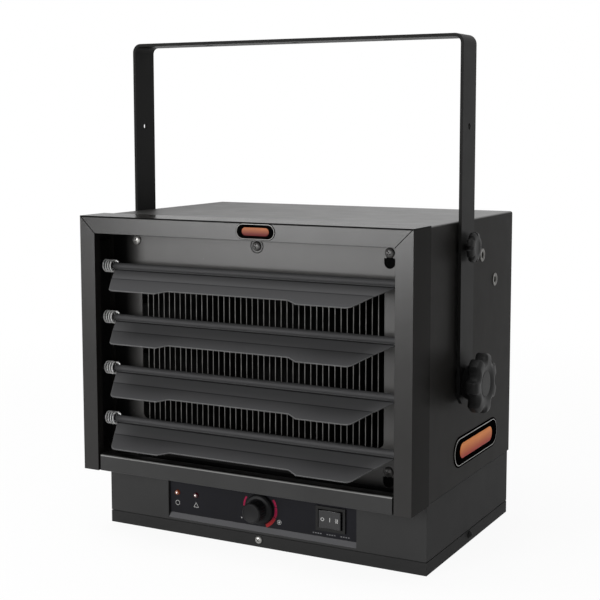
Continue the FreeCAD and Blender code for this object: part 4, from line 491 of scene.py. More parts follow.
def springPath(spring):
    coil, lead = spring["coil"], spring["lead"]
    path = []
    for k in range(spring["entrySteps"] + 1):  # out of the rail and into the first turn
        share = k / spring["entrySteps"]
        angle = -math.radians(spring["entry"]) * (1 - share)
        path.append((lead * share ** spring["entryEase"], coil * math.cos(angle), coil * math.sin(angle)))
    steps = round(spring["turns"] * spring["turnSteps"])
    for k in range(1, steps + 1):
        angle = 2 * math.pi * spring["turns"] * k / steps
        along = lead + spring["pitch"] * angle / (2 * math.pi)
        path.append((along, coil * math.cos(angle), coil * math.sin(angle)))
    x, y, z = path[-1]
    for k in range(1, spring["hookSteps"] + 1):  # the tail lies along the rolled edge and its tip dips to it
        share = k / spring["hookSteps"]
        path.append((x + spring["hook"] * share ** spring["hookEase"],
                     y - spring["hookIn"] * math.sin(share * math.pi / 2),
                     z - spring["hookDrop"] * share ** spring["dropEase"]))
    return path


def wireMesh(name, path):
    mesh = bpy.data.meshes.new(name)
    edges = [(k, k + 1) for k in range(len(path) - 1)]
    mesh.from_pydata([Vector(point) * mm for point in path], edges, [])
    return mesh


def sweptWire(tree, curve, radius, sides):
    section = addNode(tree, "GeometryNodeCurvePrimitiveCircle", {"Resolution": sides, "Radius": radius})
    tube = addNode(tree, "GeometryNodeCurveToMesh", {
        "Curve": curve, "Profile Curve": section.outputs["Curve"], "Fill Caps": True})
    smooth = addNode(tree, "GeometryNodeSetShadeSmooth", {"Geometry": tube.outputs[0], "Shade Smooth": True})
    return smooth.outputs[0]


springTree, springMarks, given, treeEnd = newTree("louvreSprings", {
    "Wire radius": "Float", "Count": "Int", "First": "Vector", "Step": "Vector", "Finish": "Material"})
wirePath = addNode(springTree, "GeometryNodeMeshToCurve", {"Mesh": given["Geometry"]})
wireTube = sweptWire(springTree, wirePath.outputs[0], given["Wire radius"], louvreSprings["wireSides"])
stations = addNode(springTree, "GeometryNodeMeshLine", {
    "Count": given["Count"], "Start Location": given["First"], "Offset": given["Step"]})
springCopies = addNode(springTree, "GeometryNodeInstanceOnPoints", {
    "Points": stations.outputs[0], "Instance": wireTube})
closeTree(springTree, springCopies.outputs[0], given["Finish"], treeEnd)
springMesh = grown(springTree, springMarks, wireMesh("springPath", springPath(louvreSprings)), {
    "Wire radius": louvreSprings["wire"] * mm, "Count": louvreSprings["count"],
    "First": Vector((louvreSprings["railFace"], louvreSprings["axisY"], louvreSprings["topZ"])) * mm,
    "Step": Vector((0, 0, -louvreSprings["spacing"])) * mm, "Finish": paints["springWire"]})
addPiece("louvre_spring_wires", springMesh, None, "heater", ("louvre_springs",))
print("springs wound:", louvreSprings["count"])

# fasteners: one shaped head, set on points along each point's own direction with a random turn

fastenerTree, fastenerMarks, given, treeEnd = newTree("fasteners", {
    "Fastener": "Object", "Seed": "Int", "Finish": "Material"})
headInfo = addNode(fastenerTree, "GeometryNodeObjectInfo", {"Object": given["Fastener"]})
outward = addNode(fastenerTree, "GeometryNodeInputNamedAttribute", {"Name": "outward"},
                  data_type="FLOAT_VECTOR")
aimed = addNode(fastenerTree, "FunctionNodeAlignRotationToVector", {"Vector": outward.outputs["Attribute"]},
                axis="Z")
anyTurn = addNode(fastenerTree, "FunctionNodeRandomValue", {"Seed": given["Seed"], 3: 2 * math.pi},
                  data_type="FLOAT")
turnAxis = addNode(fastenerTree, "ShaderNodeCombineXYZ", {"Z": anyTurn.outputs[1]})
turned = addNode(fastenerTree, "FunctionNodeEulerToRotation", {"Euler": turnAxis.outputs[0]})
headTurn = addNode(fastenerTree, "FunctionNodeRotateRotation", {
    "Rotation": aimed.outputs[0], "Rotate By": turned.outputs[0]}, rotation_space="LOCAL")
headCopies = addNode(fastenerTree, "GeometryNodeInstanceOnPoints", {
    "Points": given["Geometry"], "Instance": headInfo.outputs["Geometry"], "Rotation": headTurn.outputs[0]})
closeTree(fastenerTree, headCopies.outputs[0], given["Finish"], treeEnd)

screwShape = {"head": [(0, 2.4), (1.3, 2.34), (2.4, 2.06), (3.2, 1.6), (3.62, 1.1), (3.75, 0.6), (3.75, 0.05),
                       (3.68, 0)],
              "shank": [(1.9, 0), (1.9, -6.4), (0.8, -7), (0, -7)], "sides": 40, "broad": 1.26,
              "slotWide": 0.95, "slotReach": 2.15, "slotDeep": 1.4, "slotFoot": 0.62, "slotOver": 0.2,
              "smoothUnder": 30}


def crossScrew(shape, wide):
    head = [(radius * wide, height) for radius, height in shape["head"]]
    screwWork = bmesh.new()
    addRings(screwWork, [roundRing(*row, shape["sides"]) for row in head + shape["shank"]], toMetres)
    screw = linked("panScrew", meshOf("panScrew", screwWork))
    cutterWork = bmesh.new()
    top = shape["head"][0][1]
    for turn in (0, 90):  # two wedges make the cross
        rings = []
        for height, grow in ((top - shape["slotDeep"], shape["slotFoot"]), (top + shape["slotOver"], 1.0)):
            y = shape["slotWide"] / 2 * grow * wide
            rings.append(boxRing(shape["slotReach"] * grow * wide, -y, y, height))
        addRings(cutterWork, rings, Matrix.Rotation(math.radians(turn), 4, "Z") @ toMetres)
    cutter = linked("screwCross", meshOf("screwCross", cutterWork))
    recess = screw.modifiers.new("cross", "BOOLEAN")
    recess.operation = "DIFFERENCE"
    recess.object = cutter
    recess.use_self = True  # the two wedges cross each other
    mesh = bakeModifiers(screw)
    bpy.data.objects.remove(cutter)
    smoothByAngle(mesh, shape["smoothUnder"])
    return linked("panScrew", mesh)


def pointMesh(name, points):
    # a vertex for each fastener, with its outward direction
    mesh = bpy.data.meshes.new(name)
    mesh.from_pydata([Vector(place) * mm for place, direction in points], [], [])
    attribute = mesh.attributes.new("outward", "FLOAT_VECTOR", "POINT")
    for item, (place, direction) in zip(attribute.data, points):
        item.vector = direction
    return mesh


front, rear, left, right = (0, -1, 0), (0, 1, 0), (-1, 0, 0), (1, 0, 0)
screwSets = {
    "pan_screws": {"paint": "screwZinc", "slot": "zinc_steel", "seed": 3, "points": [
        ((0, -110.8, 7.3), front), ((0, 110.8, 7.3), rear)]},
    "pan_screws_side": {"paint": "panPaint", "slot": "zinc_steel", "seed": 3, "points": [
        ((-175.8, 0, 7.3), left), ((175.8, 0, 7.3), right)]},
    "baffle_screws_zinc": {"paint": "screwZinc", "slot": "zinc_steel", "seed": 5, "broad": True, "points": [
        ((-138, -112, 295), front)]},
    "baffle_screws_black": {"paint": "blackScrew", "slot": "black_paint", "seed": 8, "broad": True,
                            "points": [((x, -112, z), front)
                                       for x, z in ((0, 295), (138, 295), (-138, 93), (138, 93))]},
    "rear_screws": {"paint": "blackScrew", "slot": "black_paint", "seed": 13, "points": [
        ((x, 112, z), rear) for x in (-169.4, 169.4) for z in (85.25, 193, 300.75)]},
    "guard_screws": {"paint": "blackScrew", "slot": "black_paint", "seed": 21, "points": [
        ((x, 113.96, 193.6 + z), rear) for x in (-80.26, 80.26) for z in (-80.26, 80.26)]},
}
panScrew = crossScrew(screwShape, 1)
broadScrew = crossScrew(screwShape, screwShape["broad"])
for node, screws in screwSets.items():
    mesh = grown(fastenerTree, fastenerMarks, pointMesh(node, screws["points"]), {
        "Fastener": broadScrew if "broad" in screws else panScrew, "Seed": screws["seed"],
        "Finish": paints[screws["paint"]]})
    addPiece(node + "_crossed", mesh, None, "heater", (node,) if node in nodes else ())
bpy.data.objects.remove(panScrew)
bpy.data.objects.remove(broadScrew)


def turnedRing(name, section, sides, place):
    # a ring turned from a closed section, open through its middle
    work = bmesh.new()
    addRings(work, [roundRing(*row, sides) for row in section + section[:1]], place)
    bmesh.ops.delete(work, geom=[face for face in work.faces if len(face.verts) > 4], context="FACES")
    return meshOf(name, work)


screwSeat = {"place": (0, -112, 295), "sides": 48,  # the raised ring pressed round the middle screw
             "section": [(6.1, -0.1), (6.2, 0.22), (6.6, 0.34), (7, 0.22), (7.1, -0.1)]}
seatMesh = turnedRing("screw_seat_ring", screwSeat["section"], screwSeat["sides"],
                      facing(screwSeat["place"], front))
addPiece("screw_seat_ring", seatMesh, "edgeShade", "heater", ())

rivetNuts = {"section": [(3.05, -12), (5.1, -12), (5.2, -11.6), (5.2, 0), (6.3, 0), (6.5, 0.2), (6.5, 0.5),
                         (6.25, 0.7), (3.9, 0.7), (3.5, 0.45), (3.05, 0.1)],
             "sides": 40, "seed": 2, "side": 177, "places": [(-34, 295.5), (22.33, 282.5), (59.98, 254.64)]}
rivetShape = linked("rivetNut", turnedRing("rivetNut", rivetNuts["section"], rivetNuts["sides"], toMetres))
rivetPoints = [((sign * rivetNuts["side"], y, z), (sign, 0, 0))
               for sign in (-1, 1) for y, z in rivetNuts["places"]]
rivetMesh = grown(fastenerTree, fastenerMarks, pointMesh("rivetNuts", rivetPoints), {
    "Fastener": rivetShape, "Seed": rivetNuts["seed"], "Finish": paints["rivetZinc"]})
addPiece("rivet_nut_rings", rivetMesh, None, "heater", ("rivet_nuts",))
bpy.data.objects.remove(rivetShape)
print("fasteners set:", sum(len(screws["points"]) for screws in screwSets.values()) + len(rivetPoints))

# outlet guard: upright bars with rolled front edges between two strips; the bars' front faces carry a painted
# highlight

outletGuard = {"half": 133, "low": 108, "high": 270, "strip": 6, "stripEdge": 0.4, "frontY": -110.8,
               "depth": 14, "bar": 1.3, "barIn": 1, "roundSteps": 8, "count": 41, "firstX": -126.6,
               "lastX": 126.6}


def barSection(guard):
    # flat bar seen from above, rounded at both edges
    radius = guard["bar"] / 2
    section = []
    for start, middle in ((math.pi, radius), (0, guard["depth"] - radius)):
        for k in range(guard["roundSteps"] + 1):
            angle = start + math.pi * k / guard["roundSteps"]
            section.append((radius * math.cos(angle), guard["frontY"] + middle + radius * math.sin(angle)))
    return section


def addStrip(work, guard, low):
    # a flat strip with broken edges, from the low height up
    edge, tall = guard["stripEdge"], guard["strip"]
    rings = []
    for height, inset in ((0, edge), (edge, 0), (tall - edge, 0), (tall, edge)):
        y0 = guard["frontY"] + inset
        y1 = guard["frontY"] + guard["depth"] - inset
        rings.append(boxRing(guard["half"] - inset, y0, y1, low + height))
    addRings(work, rings, toMetres)


barWork = bmesh.new()
barEnds = (outletGuard["low"] + outletGuard["barIn"], outletGuard["high"] - outletGuard["barIn"])
addRings(barWork, [[(x, y, z) for x, y in barSection(outletGuard)] for z in barEnds], toMetres)
barShape = linked("guardBar", meshOf("guardBar", barWork))
stripWork = bmesh.new()
addStrip(stripWork, outletGuard, outletGuard["low"])
addStrip(stripWork, outletGuard, outletGuard["high"] - outletGuard["strip"])

barTree, barMarks, given, treeEnd = newTree("guardBars", {
    "Bar": "Object", "Count": "Int", "First": "Vector", "Last": "Vector", "Finish": "Material",
    "Front finish": "Material"})
barLine = addNode(barTree, "GeometryNodeMeshLine", {
    "Count": given["Count"], "Start Location": given["First"], "Offset": given["Last"]}, mode="END_POINTS")
barInfo = addNode(barTree, "GeometryNodeObjectInfo", {"Object": given["Bar"]})
barCopies = addNode(barTree, "GeometryNodeInstanceOnPoints", {
    "Points": barLine.outputs[0], "Instance": barInfo.outputs["Geometry"]})
withStrips = joined(barTree, given["Geometry"], barCopies.outputs[0])
closeTree(barTree, withStrips, given["Finish"], treeEnd, given["Front finish"])
barMesh = grown(barTree, barMarks, meshOf("guardStrips", stripWork), {
    "Bar": barShape, "Count": outletGuard["count"], "First": Vector((outletGuard["firstX"], 0, 0)) * mm,
    "Last": Vector((outletGuard["lastX"], 0, 0)) * mm, "Finish": paints["barSide"],
    "Front finish": paints["barEdge"]})
addPiece("outlet_guard_bars", barMesh, None, "heater", ("outlet_guard",))
bpy.data.objects.remove(barShape)
print("outlet bars:", outletGuard["count"])

# intake guard: wire rings over two crossed spokes with round screw tabs

intakeGuard = {"axisZ": 193.6, "rings": 6, "ringSides": 96, "firstRadius": 22, "ringStep": 16.8, "wire": 1.4,
               "wireSides": 12, "ringY": 117.03, "spokeY": 114.8, "spokeReach": 109.15, "tabRadius": 7.5,
               "tabHole": 2.05, "tabReach": 80.26, "tabWall": 1.96, "tabEdge": 0.3, "tabSides": 36,
               "rearY": 112}
guardTree, guardMarks, given, treeEnd = newTree("intakeGuard", {
    "Rings": "Int", "First radius": "Float", "Step": "Float", "Wire radius": "Float", "Middle": "Vector",
    "Finish": "Material"})
ringStack = addNode(guardTree, "GeometryNodeMeshLine", {
    "Count": given["Rings"], "Start Location": given["Middle"], "Offset": (0, 0, 0)})
ringIndex = addNode(guardTree, "GeometryNodeInputIndex", {})
ringRadius = addNode(guardTree, "ShaderNodeMath", {
    0: ringIndex.outputs[0], 1: given["Step"], 2: given["First radius"]}, operation="MULTIPLY_ADD")
unitRing = addNode(guardTree, "GeometryNodeCurvePrimitiveCircle", {
    "Resolution": intakeGuard["ringSides"], "Radius": 1.0})
ringCopies = addNode(guardTree, "GeometryNodeInstanceOnPoints", {
    "Points": ringStack.outputs[0], "Instance": unitRing.outputs["Curve"], "Scale": ringRadius.outputs[0],
    "Rotation": (math.pi / 2, 0, 0)})
ringCurves = addNode(guardTree, "GeometryNodeRealizeInstances", {"Geometry": ringCopies.outputs[0]})
spokeCurves = addNode(guardTree, "GeometryNodeMeshToCurve", {"Mesh": given["Geometry"]})
guardCurves = joined(guardTree, ringCurves.outputs[0], spokeCurves.outputs[0])
guardWires = sweptWire(guardTree, guardCurves, given["Wire radius"], intakeGuard["wireSides"])
closeTree(guardTree, guardWires, given["Finish"], treeEnd)
spokeEnd = intakeGuard["spokeReach"] * math.sqrt(0.5)
spokeEnds = ((-spokeEnd, -spokeEnd), (spokeEnd, spokeEnd), (-spokeEnd, spokeEnd), (spokeEnd, -spokeEnd))
spokes = bpy.data.meshes.new("guardSpokes")
spokes.from_pydata([Vector((x, intakeGuard["spokeY"], intakeGuard["axisZ"] + z)) * mm for x, z in spokeEnds],
                   [(0, 1), (2, 3)], [])
guardMesh = grown(guardTree, guardMarks, spokes, {
    "Rings": intakeGuard["rings"], "First radius": intakeGuard["firstRadius"] * mm,
    "Step": intakeGuard["ringStep"] * mm, "Wire radius": intakeGuard["wire"] * mm,
    "Middle": Vector((0, intakeGuard["ringY"], intakeGuard["axisZ"])) * mm, "Finish": paints["strapPaint"]})


def tabRings(guard):
    hole, rim, wall, edge = guard["tabHole"], guard["tabRadius"], guard["tabWall"], guard["tabEdge"]
    profile = [(hole, 0), (rim, 0), (rim, wall - edge), (rim - edge, wall), (hole, wall)]
    return [roundRing(*row, guard["tabSides"]) for row in profile]


guardWork = bmesh.new()
guardWork.from_mesh(guardMesh)
for x in (-intakeGuard["tabReach"], intakeGuard["tabReach"]):
    for z in (-intakeGuard["tabReach"], intakeGuard["tabReach"]):
        place = facing((x, intakeGuard["rearY"], intakeGuard["axisZ"] + z), rear)
        addRings(guardWork, tabRings(intakeGuard), place)
tabbedMesh = meshOf("intakeGuard", guardWork)
addPiece("intake_guard_wires", tabbedMesh, "strapPaint", "heater", ("rear_guard",))
print("intake guard rings:", intakeGuard["rings"])


# moulded knobs: rings whose outline is scalloped where fingers grip

knobSmooth = 38  # degrees


def scallopedRing(radius, height, scallops, count):
    # a circle with hollows cut by smaller circles, blended softly into the lobes
    spacing = 2 * math.pi / scallops["count"]
    sharp = scallops["sharp"]
    points = []
    for k in range(count):
        turn = 2 * math.pi * k / count
        reach = radius
        off = (turn + spacing / 2) % spacing - spacing / 2
        across = scallops["out"] * math.sin(off)
        if abs(across) < scallops["hollow"]:
            edge = scallops["out"] * math.cos(off) - math.sqrt(scallops["hollow"] ** 2 - across ** 2)
            edge -= scallops["full"] - radius
            reach = -math.log(math.exp(-sharp * radius) + math.exp(-sharp * edge)) / sharp
        points.append((reach * math.cos(turn), reach * math.sin(turn), height))
    return points


def knobMesh(name, knob, place):
    # rings of radius and height; the finger hollows reach only the grip's
    count = knob["count"]
    rings = [roundRing(*row, count) for row in knob["foot"]]
    rings += [scallopedRing(*row, knob["scallops"], count) for row in knob["grip"]]
    rings += [roundRing(*row, count) for row in knob["crown"]]
    work = bmesh.new()
    addRings(work, rings, place)
    return meshOf(name, work, knobSmooth)


starKnob = {"x": 184.5, "y": -34, "z": 167, "count": 196,
            "scallops": {"count": 7, "out": 32, "hollow": 8.5, "full": 29, "sharp": 1.6},
            "foot": [(0, -20.7), (4.6, -20.7), (5, -20.2), (5, 0), (15.5, 0), (16, 0.5), (17.8, 6.4),
                     (18, 7)],
            "grip": [(25, 7.25), (27.4, 7.8), (28.5, 8.8), (28.9, 10.2), (28.9, 15.8), (28.5, 17.6),
                     (27.4, 18.9), (25.6, 19.7), (23.4, 20)],
            "crown": [(17.6, 19.9), (16.6, 19.5), (13.4, 18.8), (12.8, 18.3), (12.2, 18.25), (11.8, 18.6),
                      (8, 18.8), (0, 18.85)]}
lockKnob = {"x": 186.3, "y": -34, "z": 295.5, "count": 192,
            "scallops": {"count": 8, "out": 14.97, "hollow": 2.4, "full": 14.25, "sharp": 4},
            "foot": [(0, -8.2), (2.6, -8.2), (3, -7.8), (3, 0)],
            "grip": [(12.8, 0), (13.7, 0.4), (14.2, 1.2), (14.2, 4.1), (13.6, 5.2), (12.2, 5.9)],
            "crown": [(10.4, 6.3), (8, 6.5), (6.6, 6.2), (6, 6), (0, 5.9)]}
for side, sign in (("left", -1), ("right", 1)):
    for kind, knob in (("pivot", starKnob), ("lock", lockKnob)):
        node = kind + "_knob_" + side
        mesh = knobMesh(node, knob, facing((sign * knob["x"], knob["y"], knob["z"]), (sign, 0, 0)))
        addPiece(node + "_moulded", mesh, "knobPlastic", node, (node,))

dialKnob = {"y": -108.7, "z": 37.7, "count": 240,
            "scallops": {"count": 24, "out": 10.9, "hollow": 0.9, "full": 10.2, "sharp": 12},
            "foot": [(0, 0.2), (14.6, 0.2), (15, 0.6), (15, 2.3), (14.5, 3.4), (13.5, 4.4), (11.4, 4.6),
                     (10.7, 5)],
            "grip": [(10.25, 6), (10.2, 15.2), (10.1, 16.4)],
            "crown": [(9.7, 17.3), (9, 17.9), (8.5, 18.1), (7.9, 17.8), (7.6, 17.7), (0, 17.7)]}
dialMesh = knobMesh("thermostat_knob", dialKnob, facing((0, dialKnob["y"], dialKnob["z"]), front))
addPiece("thermostat_knob_moulded", dialMesh, "dialPlastic", "thermostat_dial", ("thermostat_knob",))
print("knobs moulded: 5")

# indicator lamps: domed lens with a painted glint, a small glowing white dot on its tip

lampShape = {"y": -106.1, "z": 41, "sides": 32, "coreSides": 24,
             "profile": [(0, -9), (3.1, -9), (3.7, -8.4), (3.7, 0), (2.5, 0), (2.5, 2.9), (2.35, 3.5),
                         (1.95, 3.95), (1.3, 4.15), (0, 4.2)],
             "core": [(0.72, 4.12), (0.6, 4.2), (0.36, 4.27), (0, 4.3)]}
indicators = {"power_lamp": {"x": -95.7, "paint": "amberLens"},
              "fault_lamp": {"x": -73.7, "paint": "redLens"}}
for node, lamp in indicators.items():
    lampWork = bmesh.new()
    place = facing((lamp["x"], lampShape["y"], lampShape["z"]), front)
    lensRings = [roundRing(*row, lampShape["sides"]) for row in lampShape["profile"]]
    addRings(lampWork, lensRings, place, [0] * (len(lensRings) - 1))
    # the white dot on the tip carries the painted glint
    coreRings = [roundRing(*row, lampShape["coreSides"]) for row in lampShape["core"]]
    addRings(lampWork, coreRings, place, [1] * (len(coreRings) - 1))
    lampMesh = meshOf(node, lampWork)
    lampMesh.materials.append(paints[lamp["paint"]])
    lampMesh.materials.append(paints["lampCore"])
    addPiece(node + "_lens", lampMesh, None, "heater", (node,))
print("lamps lit:", len(indicators))

# printed marks: thin ink on the overlay and on the rocker's sloping face

overlayPrint = {"faceY": -108.1, "ink": 0.05, "dialZ": 37.7, "arcOuter": 19.1,
                "heatArcs": [(146, 178, 17.2), (12, 36, 16.8), (-22, 10, 16.2), (-68, -24, 15.6)],
                "powerMark": {"x": -95.7, "z": 30.4, "inner": 2.1, "outer": 2.55},
                "faultMark": [(-73.7, 33.4), (-71.0, 28.6), (-76.4, 28.6)], "faultLine": 0.42,
                "heatMark": {"x": 21.2, "z": 27, "inner": 1.95, "outer": 2.3, "dot": 1.0},
                "lowMark": {"x": -20.9, "z": 25.8, "dot": 0.6}, "dotHole": 0.01, "dotTurn": 350,
                "captions": (62.4, 77.2, 92.0), "captionZ": 22.9, "captionHalf": 3.9, "dashes": 4,
                "dashStep": 2.6, "dashHalf": 0.8, "dashTall": 1.0}
rockerFace = {"x": 77.2, "z": 38.3, "middleY": -110.5, "endY": -111.94, "half": 10.46, "ink": 0.06,
              "offMark": {"x": 69.7, "z": 38.3, "inner": 1.05, "outer": 1.75}, "barHalf": 2.1,
              "oneHalf": 0.35, "oneInk": 0.35, "twoX": (84.0, 85.6), "twoHalf": 0.4}


def onOverlay(x):
    return overlayPrint["faceY"]


def onRocker(x):
    share = abs(x - rockerFace["x"]) / rockerFace["half"]
    return rockerFace["middleY"] + (rockerFace["endY"] - rockerFace["middleY"]) * share


def addInk(work, outline, thick=overlayPrint["ink"], depthAt=onOverlay):
    # one flat mark: its outline in x and z, laid on the face and given the ink's thickness
    back = [work.verts.new(Vector((x, depthAt(x), z)) * mm) for x, z in outline]
    top = [work.verts.new(Vector((x, depthAt(x) - thick, z)) * mm) for x, z in outline]
    work.faces.new(back)
    work.faces.new(top)
    count = len(outline)
    for k in range(count):
        after = (k + 1) % count
        work.faces.new([back[k], back[after], top[after], top[k]])


def arcBand(x, z, inner, outer, start, stop, steps=24):
    angles = [math.radians(start + (stop - start) * k / steps) for k in range(steps + 1)]
    outside = [(x + outer * math.cos(a), z + outer * math.sin(a)) for a in angles]
    inside = [(x + inner * math.cos(a), z + inner * math.sin(a)) for a in reversed(angles)]
    return outside + inside


def lineBand(start, stop, wide):
    along = (Vector(stop) - Vector(start)).normalized()
    off = Vector((-along.y, along.x)) * wide / 2
    ends = [Vector(start) - off, Vector(stop) - off, Vector(stop) + off, Vector(start) + off]
    return [tuple(end) for end in ends]


def addCircle(work, mark, *face):
    for start in (0, 180):
        band = arcBand(mark["x"], mark["z"], mark["inner"], mark["outer"], start, start + 180)
        addInk(work, band, *face)


def addDot(work, mark):
    hole, turn = overlayPrint["dotHole"], overlayPrint["dotTurn"]
    addInk(work, arcBand(mark["x"], mark["z"], hole, mark["dot"], 0, turn))


def addBar(work, x0, x1, thick):
    low, high = rockerFace["z"] - rockerFace["barHalf"], rockerFace["z"] + rockerFace["barHalf"]
    addInk(work, [(x0, low), (x1, low), (x1, high), (x0, high)], thick, onRocker)


redWork = bmesh.new()
for start, stop, inner in overlayPrint["heatArcs"]:
    addInk(redWork, arcBand(0, overlayPrint["dialZ"], inner, overlayPrint["arcOuter"], start, stop))
addPiece("dial_heat_arc", meshOf("dial_heat_arc", redWork), "redPrint", "heater", ())

paleWork = bmesh.new()
addCircle(paleWork, overlayPrint["powerMark"])  # ring under the power lamp
triangle = overlayPrint["faultMark"]  # three sides under the fault lamp
for corner, after in zip(triangle, triangle[1:] + triangle[:1]):
    addInk(paleWork, lineBand(corner, after, overlayPrint["faultLine"]))
addCircle(paleWork, overlayPrint["heatMark"])  # beside the dial: a dot in a ring
addDot(paleWork, overlayPrint["heatMark"])
addDot(paleWork, overlayPrint["lowMark"])  # the dial's lowest setting
paleMesh = meshOf("overlay_pale_marks", paleWork)
addPiece("overlay_pale_marks", paleMesh, "palePrint", "heater", ())

greyWork = bmesh.new()
dashZ, dashHalf = overlayPrint["captionZ"], overlayPrint["dashHalf"]
for middleX in overlayPrint["captions"]:  # plain dashes under the switch's three settings
    for k in range(overlayPrint["dashes"]):
        x = middleX - overlayPrint["captionHalf"] + overlayPrint["dashStep"] * k
        addInk(greyWork, lineBand((x - dashHalf, dashZ), (x + dashHalf, dashZ), overlayPrint["dashTall"]))
greyMesh = meshOf("overlay_grey_marks", greyWork)
addPiece("overlay_grey_marks", greyMesh, "greyPrint", "heater", ())

rockerWork = bmesh.new()  # off, one and two
addCircle(rockerWork, rockerFace["offMark"], rockerFace["ink"], onRocker)
middle, oneHalf, twoHalf = rockerFace["x"], rockerFace["oneHalf"], rockerFace["twoHalf"]
addBar(rockerWork, middle - oneHalf, middle, rockerFace["oneInk"])  # in two halves over the face's bend
addBar(rockerWork, middle, middle + oneHalf, rockerFace["oneInk"])
for x in rockerFace["twoX"]:
    addBar(rockerWork, x - twoHalf, x + twoHalf, rockerFace["ink"])
addPiece("rocker_marks", meshOf("rocker_marks", rockerWork), "palePrint", "rocker", ())
print("marks printed")

# bare badge plates: bright rim, dark face and a plain enamel inlay

badges = {
    "front_badge": {"width": 41, "tall": 15, "edge": 0.5, "rim": 1.15, "inlayWidth": 28.6, "inlayTall": 7.6,
                    "place": (21.5, -152, 312.5), "outward": front, "inlay": "frontInlay"},
    "side_badge": {"width": 122, "tall": 30, "edge": 1.7, "rim": 2.5, "inlayWidth": 90, "inlayTall": 15,
                   "place": (177, 12, 98.2), "outward": right, "inlay": "sideInlay"},
}


def capsuleRing(width, tall, inset, height, steps=16):
    radius = tall / 2 - inset
    half = width / 2 - tall / 2
    points = []
    for end, start in ((half, -90), (-half, 90)):
        for k in range(steps + 1):
            angle = math.radians(start + 180 * k / steps)
            points.append((end + radius * math.cos(angle), radius * math.sin(angle), height))
    return points


def badgeMesh(name, badge):
    edge, rim = badge["edge"], badge["rim"]
    plate = (badge["width"], badge["tall"])
    inlay = (badge["inlayWidth"], badge["inlayTall"])
    # each row: outline, inset, height and finish, from the back over the rim to the inlay's middle
    rows = [(plate, 0, 0, 1), (plate, 0, 0.45, 1), (plate, edge * 0.5, 0.58, 1), (plate, edge, 0.6, 1),
            (plate, edge + 0.15, 0.74, 0), (plate, (edge + rim) / 2, 0.8, 0), (plate, rim - 0.15, 0.74, 0),
            (plate, rim, 0.5, 1), (plate, rim + 0.2, 0.44, 1), (inlay, 0, 0.44, 1), (inlay, 0.15, 0.56, 2),
            (inlay, 0.5, 0.62, 2), (inlay, 1.2, 0.64, 2)]
    rings = [capsuleRing(*size, inset, height) for size, inset, height, slot in rows]
    outward = Vector(badge["outward"])
    across = Vector((0, 0, 1)).cross(outward)  # the plate's long side lies level
    turn = Matrix((across, (0, 0, 1), outward)).transposed().to_4x4()
    place = Matrix.Translation(Vector(badge["place"]) * mm) @ turn @ toMetres
    work = bmesh.new()
    addRings(work, rings, place, [slot for size, inset, height, slot in rows[1:]])
    mesh = meshOf(name, work)
    for paint in ("silverRim", "badgeFace", badge["inlay"]):
        mesh.materials.append(paints[paint])
    return mesh


for node, badge in badges.items():
    addPiece(node + "_plate", badgeMesh(node, badge), None, "heater", (node,))
print("badge plates set:", len(badges))

# stage: white floor that keeps the shadow, soft lamps, camera at the photo's angle

stage = {"floorColour": "#f7f7f6", "floorRough": 0.9, "floorHalf": 30.0, "ambient": 0.35, "shadowShare": 0.07,
         "shadowNear": 0.45, "shadowFar": 1.3}
white = (1, 1, 1, 1)


def seenRays(tree):
    # one for camera, mirror and glass rays
    rays = tree.nodes.new("ShaderNodeLightPath").outputs
    both = addNode(tree, "ShaderNodeMath", {0: rays["Is Camera Ray"], 1: rays["Is Glossy Ray"]},
                   operation="ADD")
    three = addNode(tree, "ShaderNodeMath", {0: both.outputs[0], 1: rays["Is Transmission Ray"]},
                    operation="ADD", use_clamp=True)
    return three.outputs[0]


floorEnd = stage["floorHalf"]
floorMesh = bpy.data.meshes.new("floor")
floorMesh.from_pydata(boxRing(floorEnd, -floorEnd, floorEnd, 0), [], [(0, 1, 2, 3)])
floor = linked("floor", floorMesh)
floorPaint = bpy.data.materials.new("floorPaint")
floorPaint.use_nodes = True
floorTree = floorPaint.node_tree
floorShader = floorTree.nodes["Principled BSDF"]
floorShader.inputs["Base Color"].default_value = tint(stage["floorColour"])
floorShader.inputs["Roughness"].default_value = stage["floorRough"]
floorWhite = addNode(floorTree, "ShaderNodeEmission", {"Color": white, "Strength": 1.0})
floorPlace = floorTree.nodes.new("ShaderNodeTexCoord")
fromMiddle = addNode(floorTree, "ShaderNodeVectorMath", {0: floorPlace.outputs["Object"]}, operation="LENGTH")
whiteShare = addNode(floorTree, "ShaderNodeMapRange", {  # the lit floor shows near the object, then white
    "Value": fromMiddle.outputs["Value"], "From Min": stage["shadowNear"], "From Max": stage["shadowFar"],
    "To Min": 1 - stage["shadowShare"], "To Max": 1.0}, interpolation_type="SMOOTHSTEP")
seenShare = addNode(floorTree, "ShaderNodeMath", {0: seenRays(floorTree), 1: whiteShare.outputs["Result"]},
                    operation="MULTIPLY")
floorBlend = addNode(floorTree, "ShaderNodeMixShader", {
    "Fac": seenShare.outputs[0], 1: floorShader.outputs["BSDF"], 2: floorWhite.outputs["Emission"]})
floorTree.links.new(floorBlend.outputs["Shader"], floorTree.nodes["Material Output"].inputs["Surface"])
floorMesh.materials.append(floorPaint)

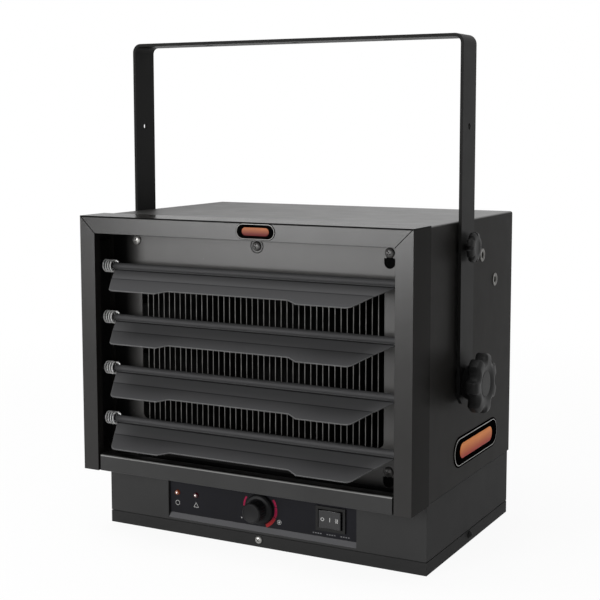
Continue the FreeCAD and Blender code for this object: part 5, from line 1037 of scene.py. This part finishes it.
world = bpy.data.worlds.new("studio")
world.use_nodes = True
scene.world = world
worldTree = world.node_tree
ambient = worldTree.nodes["Background"]
ambient.inputs["Color"].default_value = white
ambient.inputs["Strength"].default_value = stage["ambient"]
backdrop = addNode(worldTree, "ShaderNodeBackground", {"Color": white, "Strength": 1.0})
worldMix = addNode(worldTree, "ShaderNodeMixShader", {
    "Fac": seenRays(worldTree), 1: ambient.outputs["Background"], 2: backdrop.outputs["Background"]})
worldTree.links.new(worldMix.outputs["Shader"], worldTree.nodes["World Output"].inputs["Surface"])

lamps = {
    "keyLamp": {"at": (-0.93, -2.15, 0.52), "aim": (0, -0.1, 0.25), "size": 1.0, "watts": 33},
    "topLamp": {"at": (-0.2, -0.5, 2.3), "aim": (0, -0.05, 0.25), "size": 1.4, "watts": 30},
}
for name, lamp in lamps.items():
    light = bpy.data.lights.new(name, "AREA")
    light.energy = lamp["watts"]
    light.size = lamp["size"]
    holder = linked(name, light)
    holder.location = lamp["at"]
    holder.rotation_euler = (Vector(lamp["aim"]) - Vector(lamp["at"])).to_track_quat("-Z", "Y").to_euler()

shot = {"lens": 77.07, "sensor": 36.0, "azimuth": 27.956, "tilt": 6.143, "roll": -0.072,
        "target": (14.524, -52.0, 276.707), "distance": 1268.511, "shiftY": -0.0667, "clipEnd": 80}
azimuth = math.radians(shot["azimuth"])
tilt = math.radians(shot["tilt"])
forward = Vector((-math.sin(azimuth) * math.cos(tilt), math.cos(azimuth) * math.cos(tilt), -math.sin(tilt)))
cameraData = bpy.data.cameras.new("photoCamera")
cameraData.lens = shot["lens"]
cameraData.sensor_width = shot["sensor"]
cameraData.shift_y = shot["shiftY"]
cameraData.clip_end = shot["clipEnd"]
camera = linked("photoCamera", cameraData)
target = Vector(shot["target"]) * mm
rollTurn = Matrix.Rotation(math.radians(shot["roll"]), 4, "Z")
camera.matrix_world = (Matrix.Translation(target - forward * shot["distance"] * mm)
                       @ forward.to_track_quat("-Z", "Y").to_matrix().to_4x4() @ rollTurn)
scene.camera = camera
scene.view_settings.view_transform = "Standard"
print("stage set")

print("done")
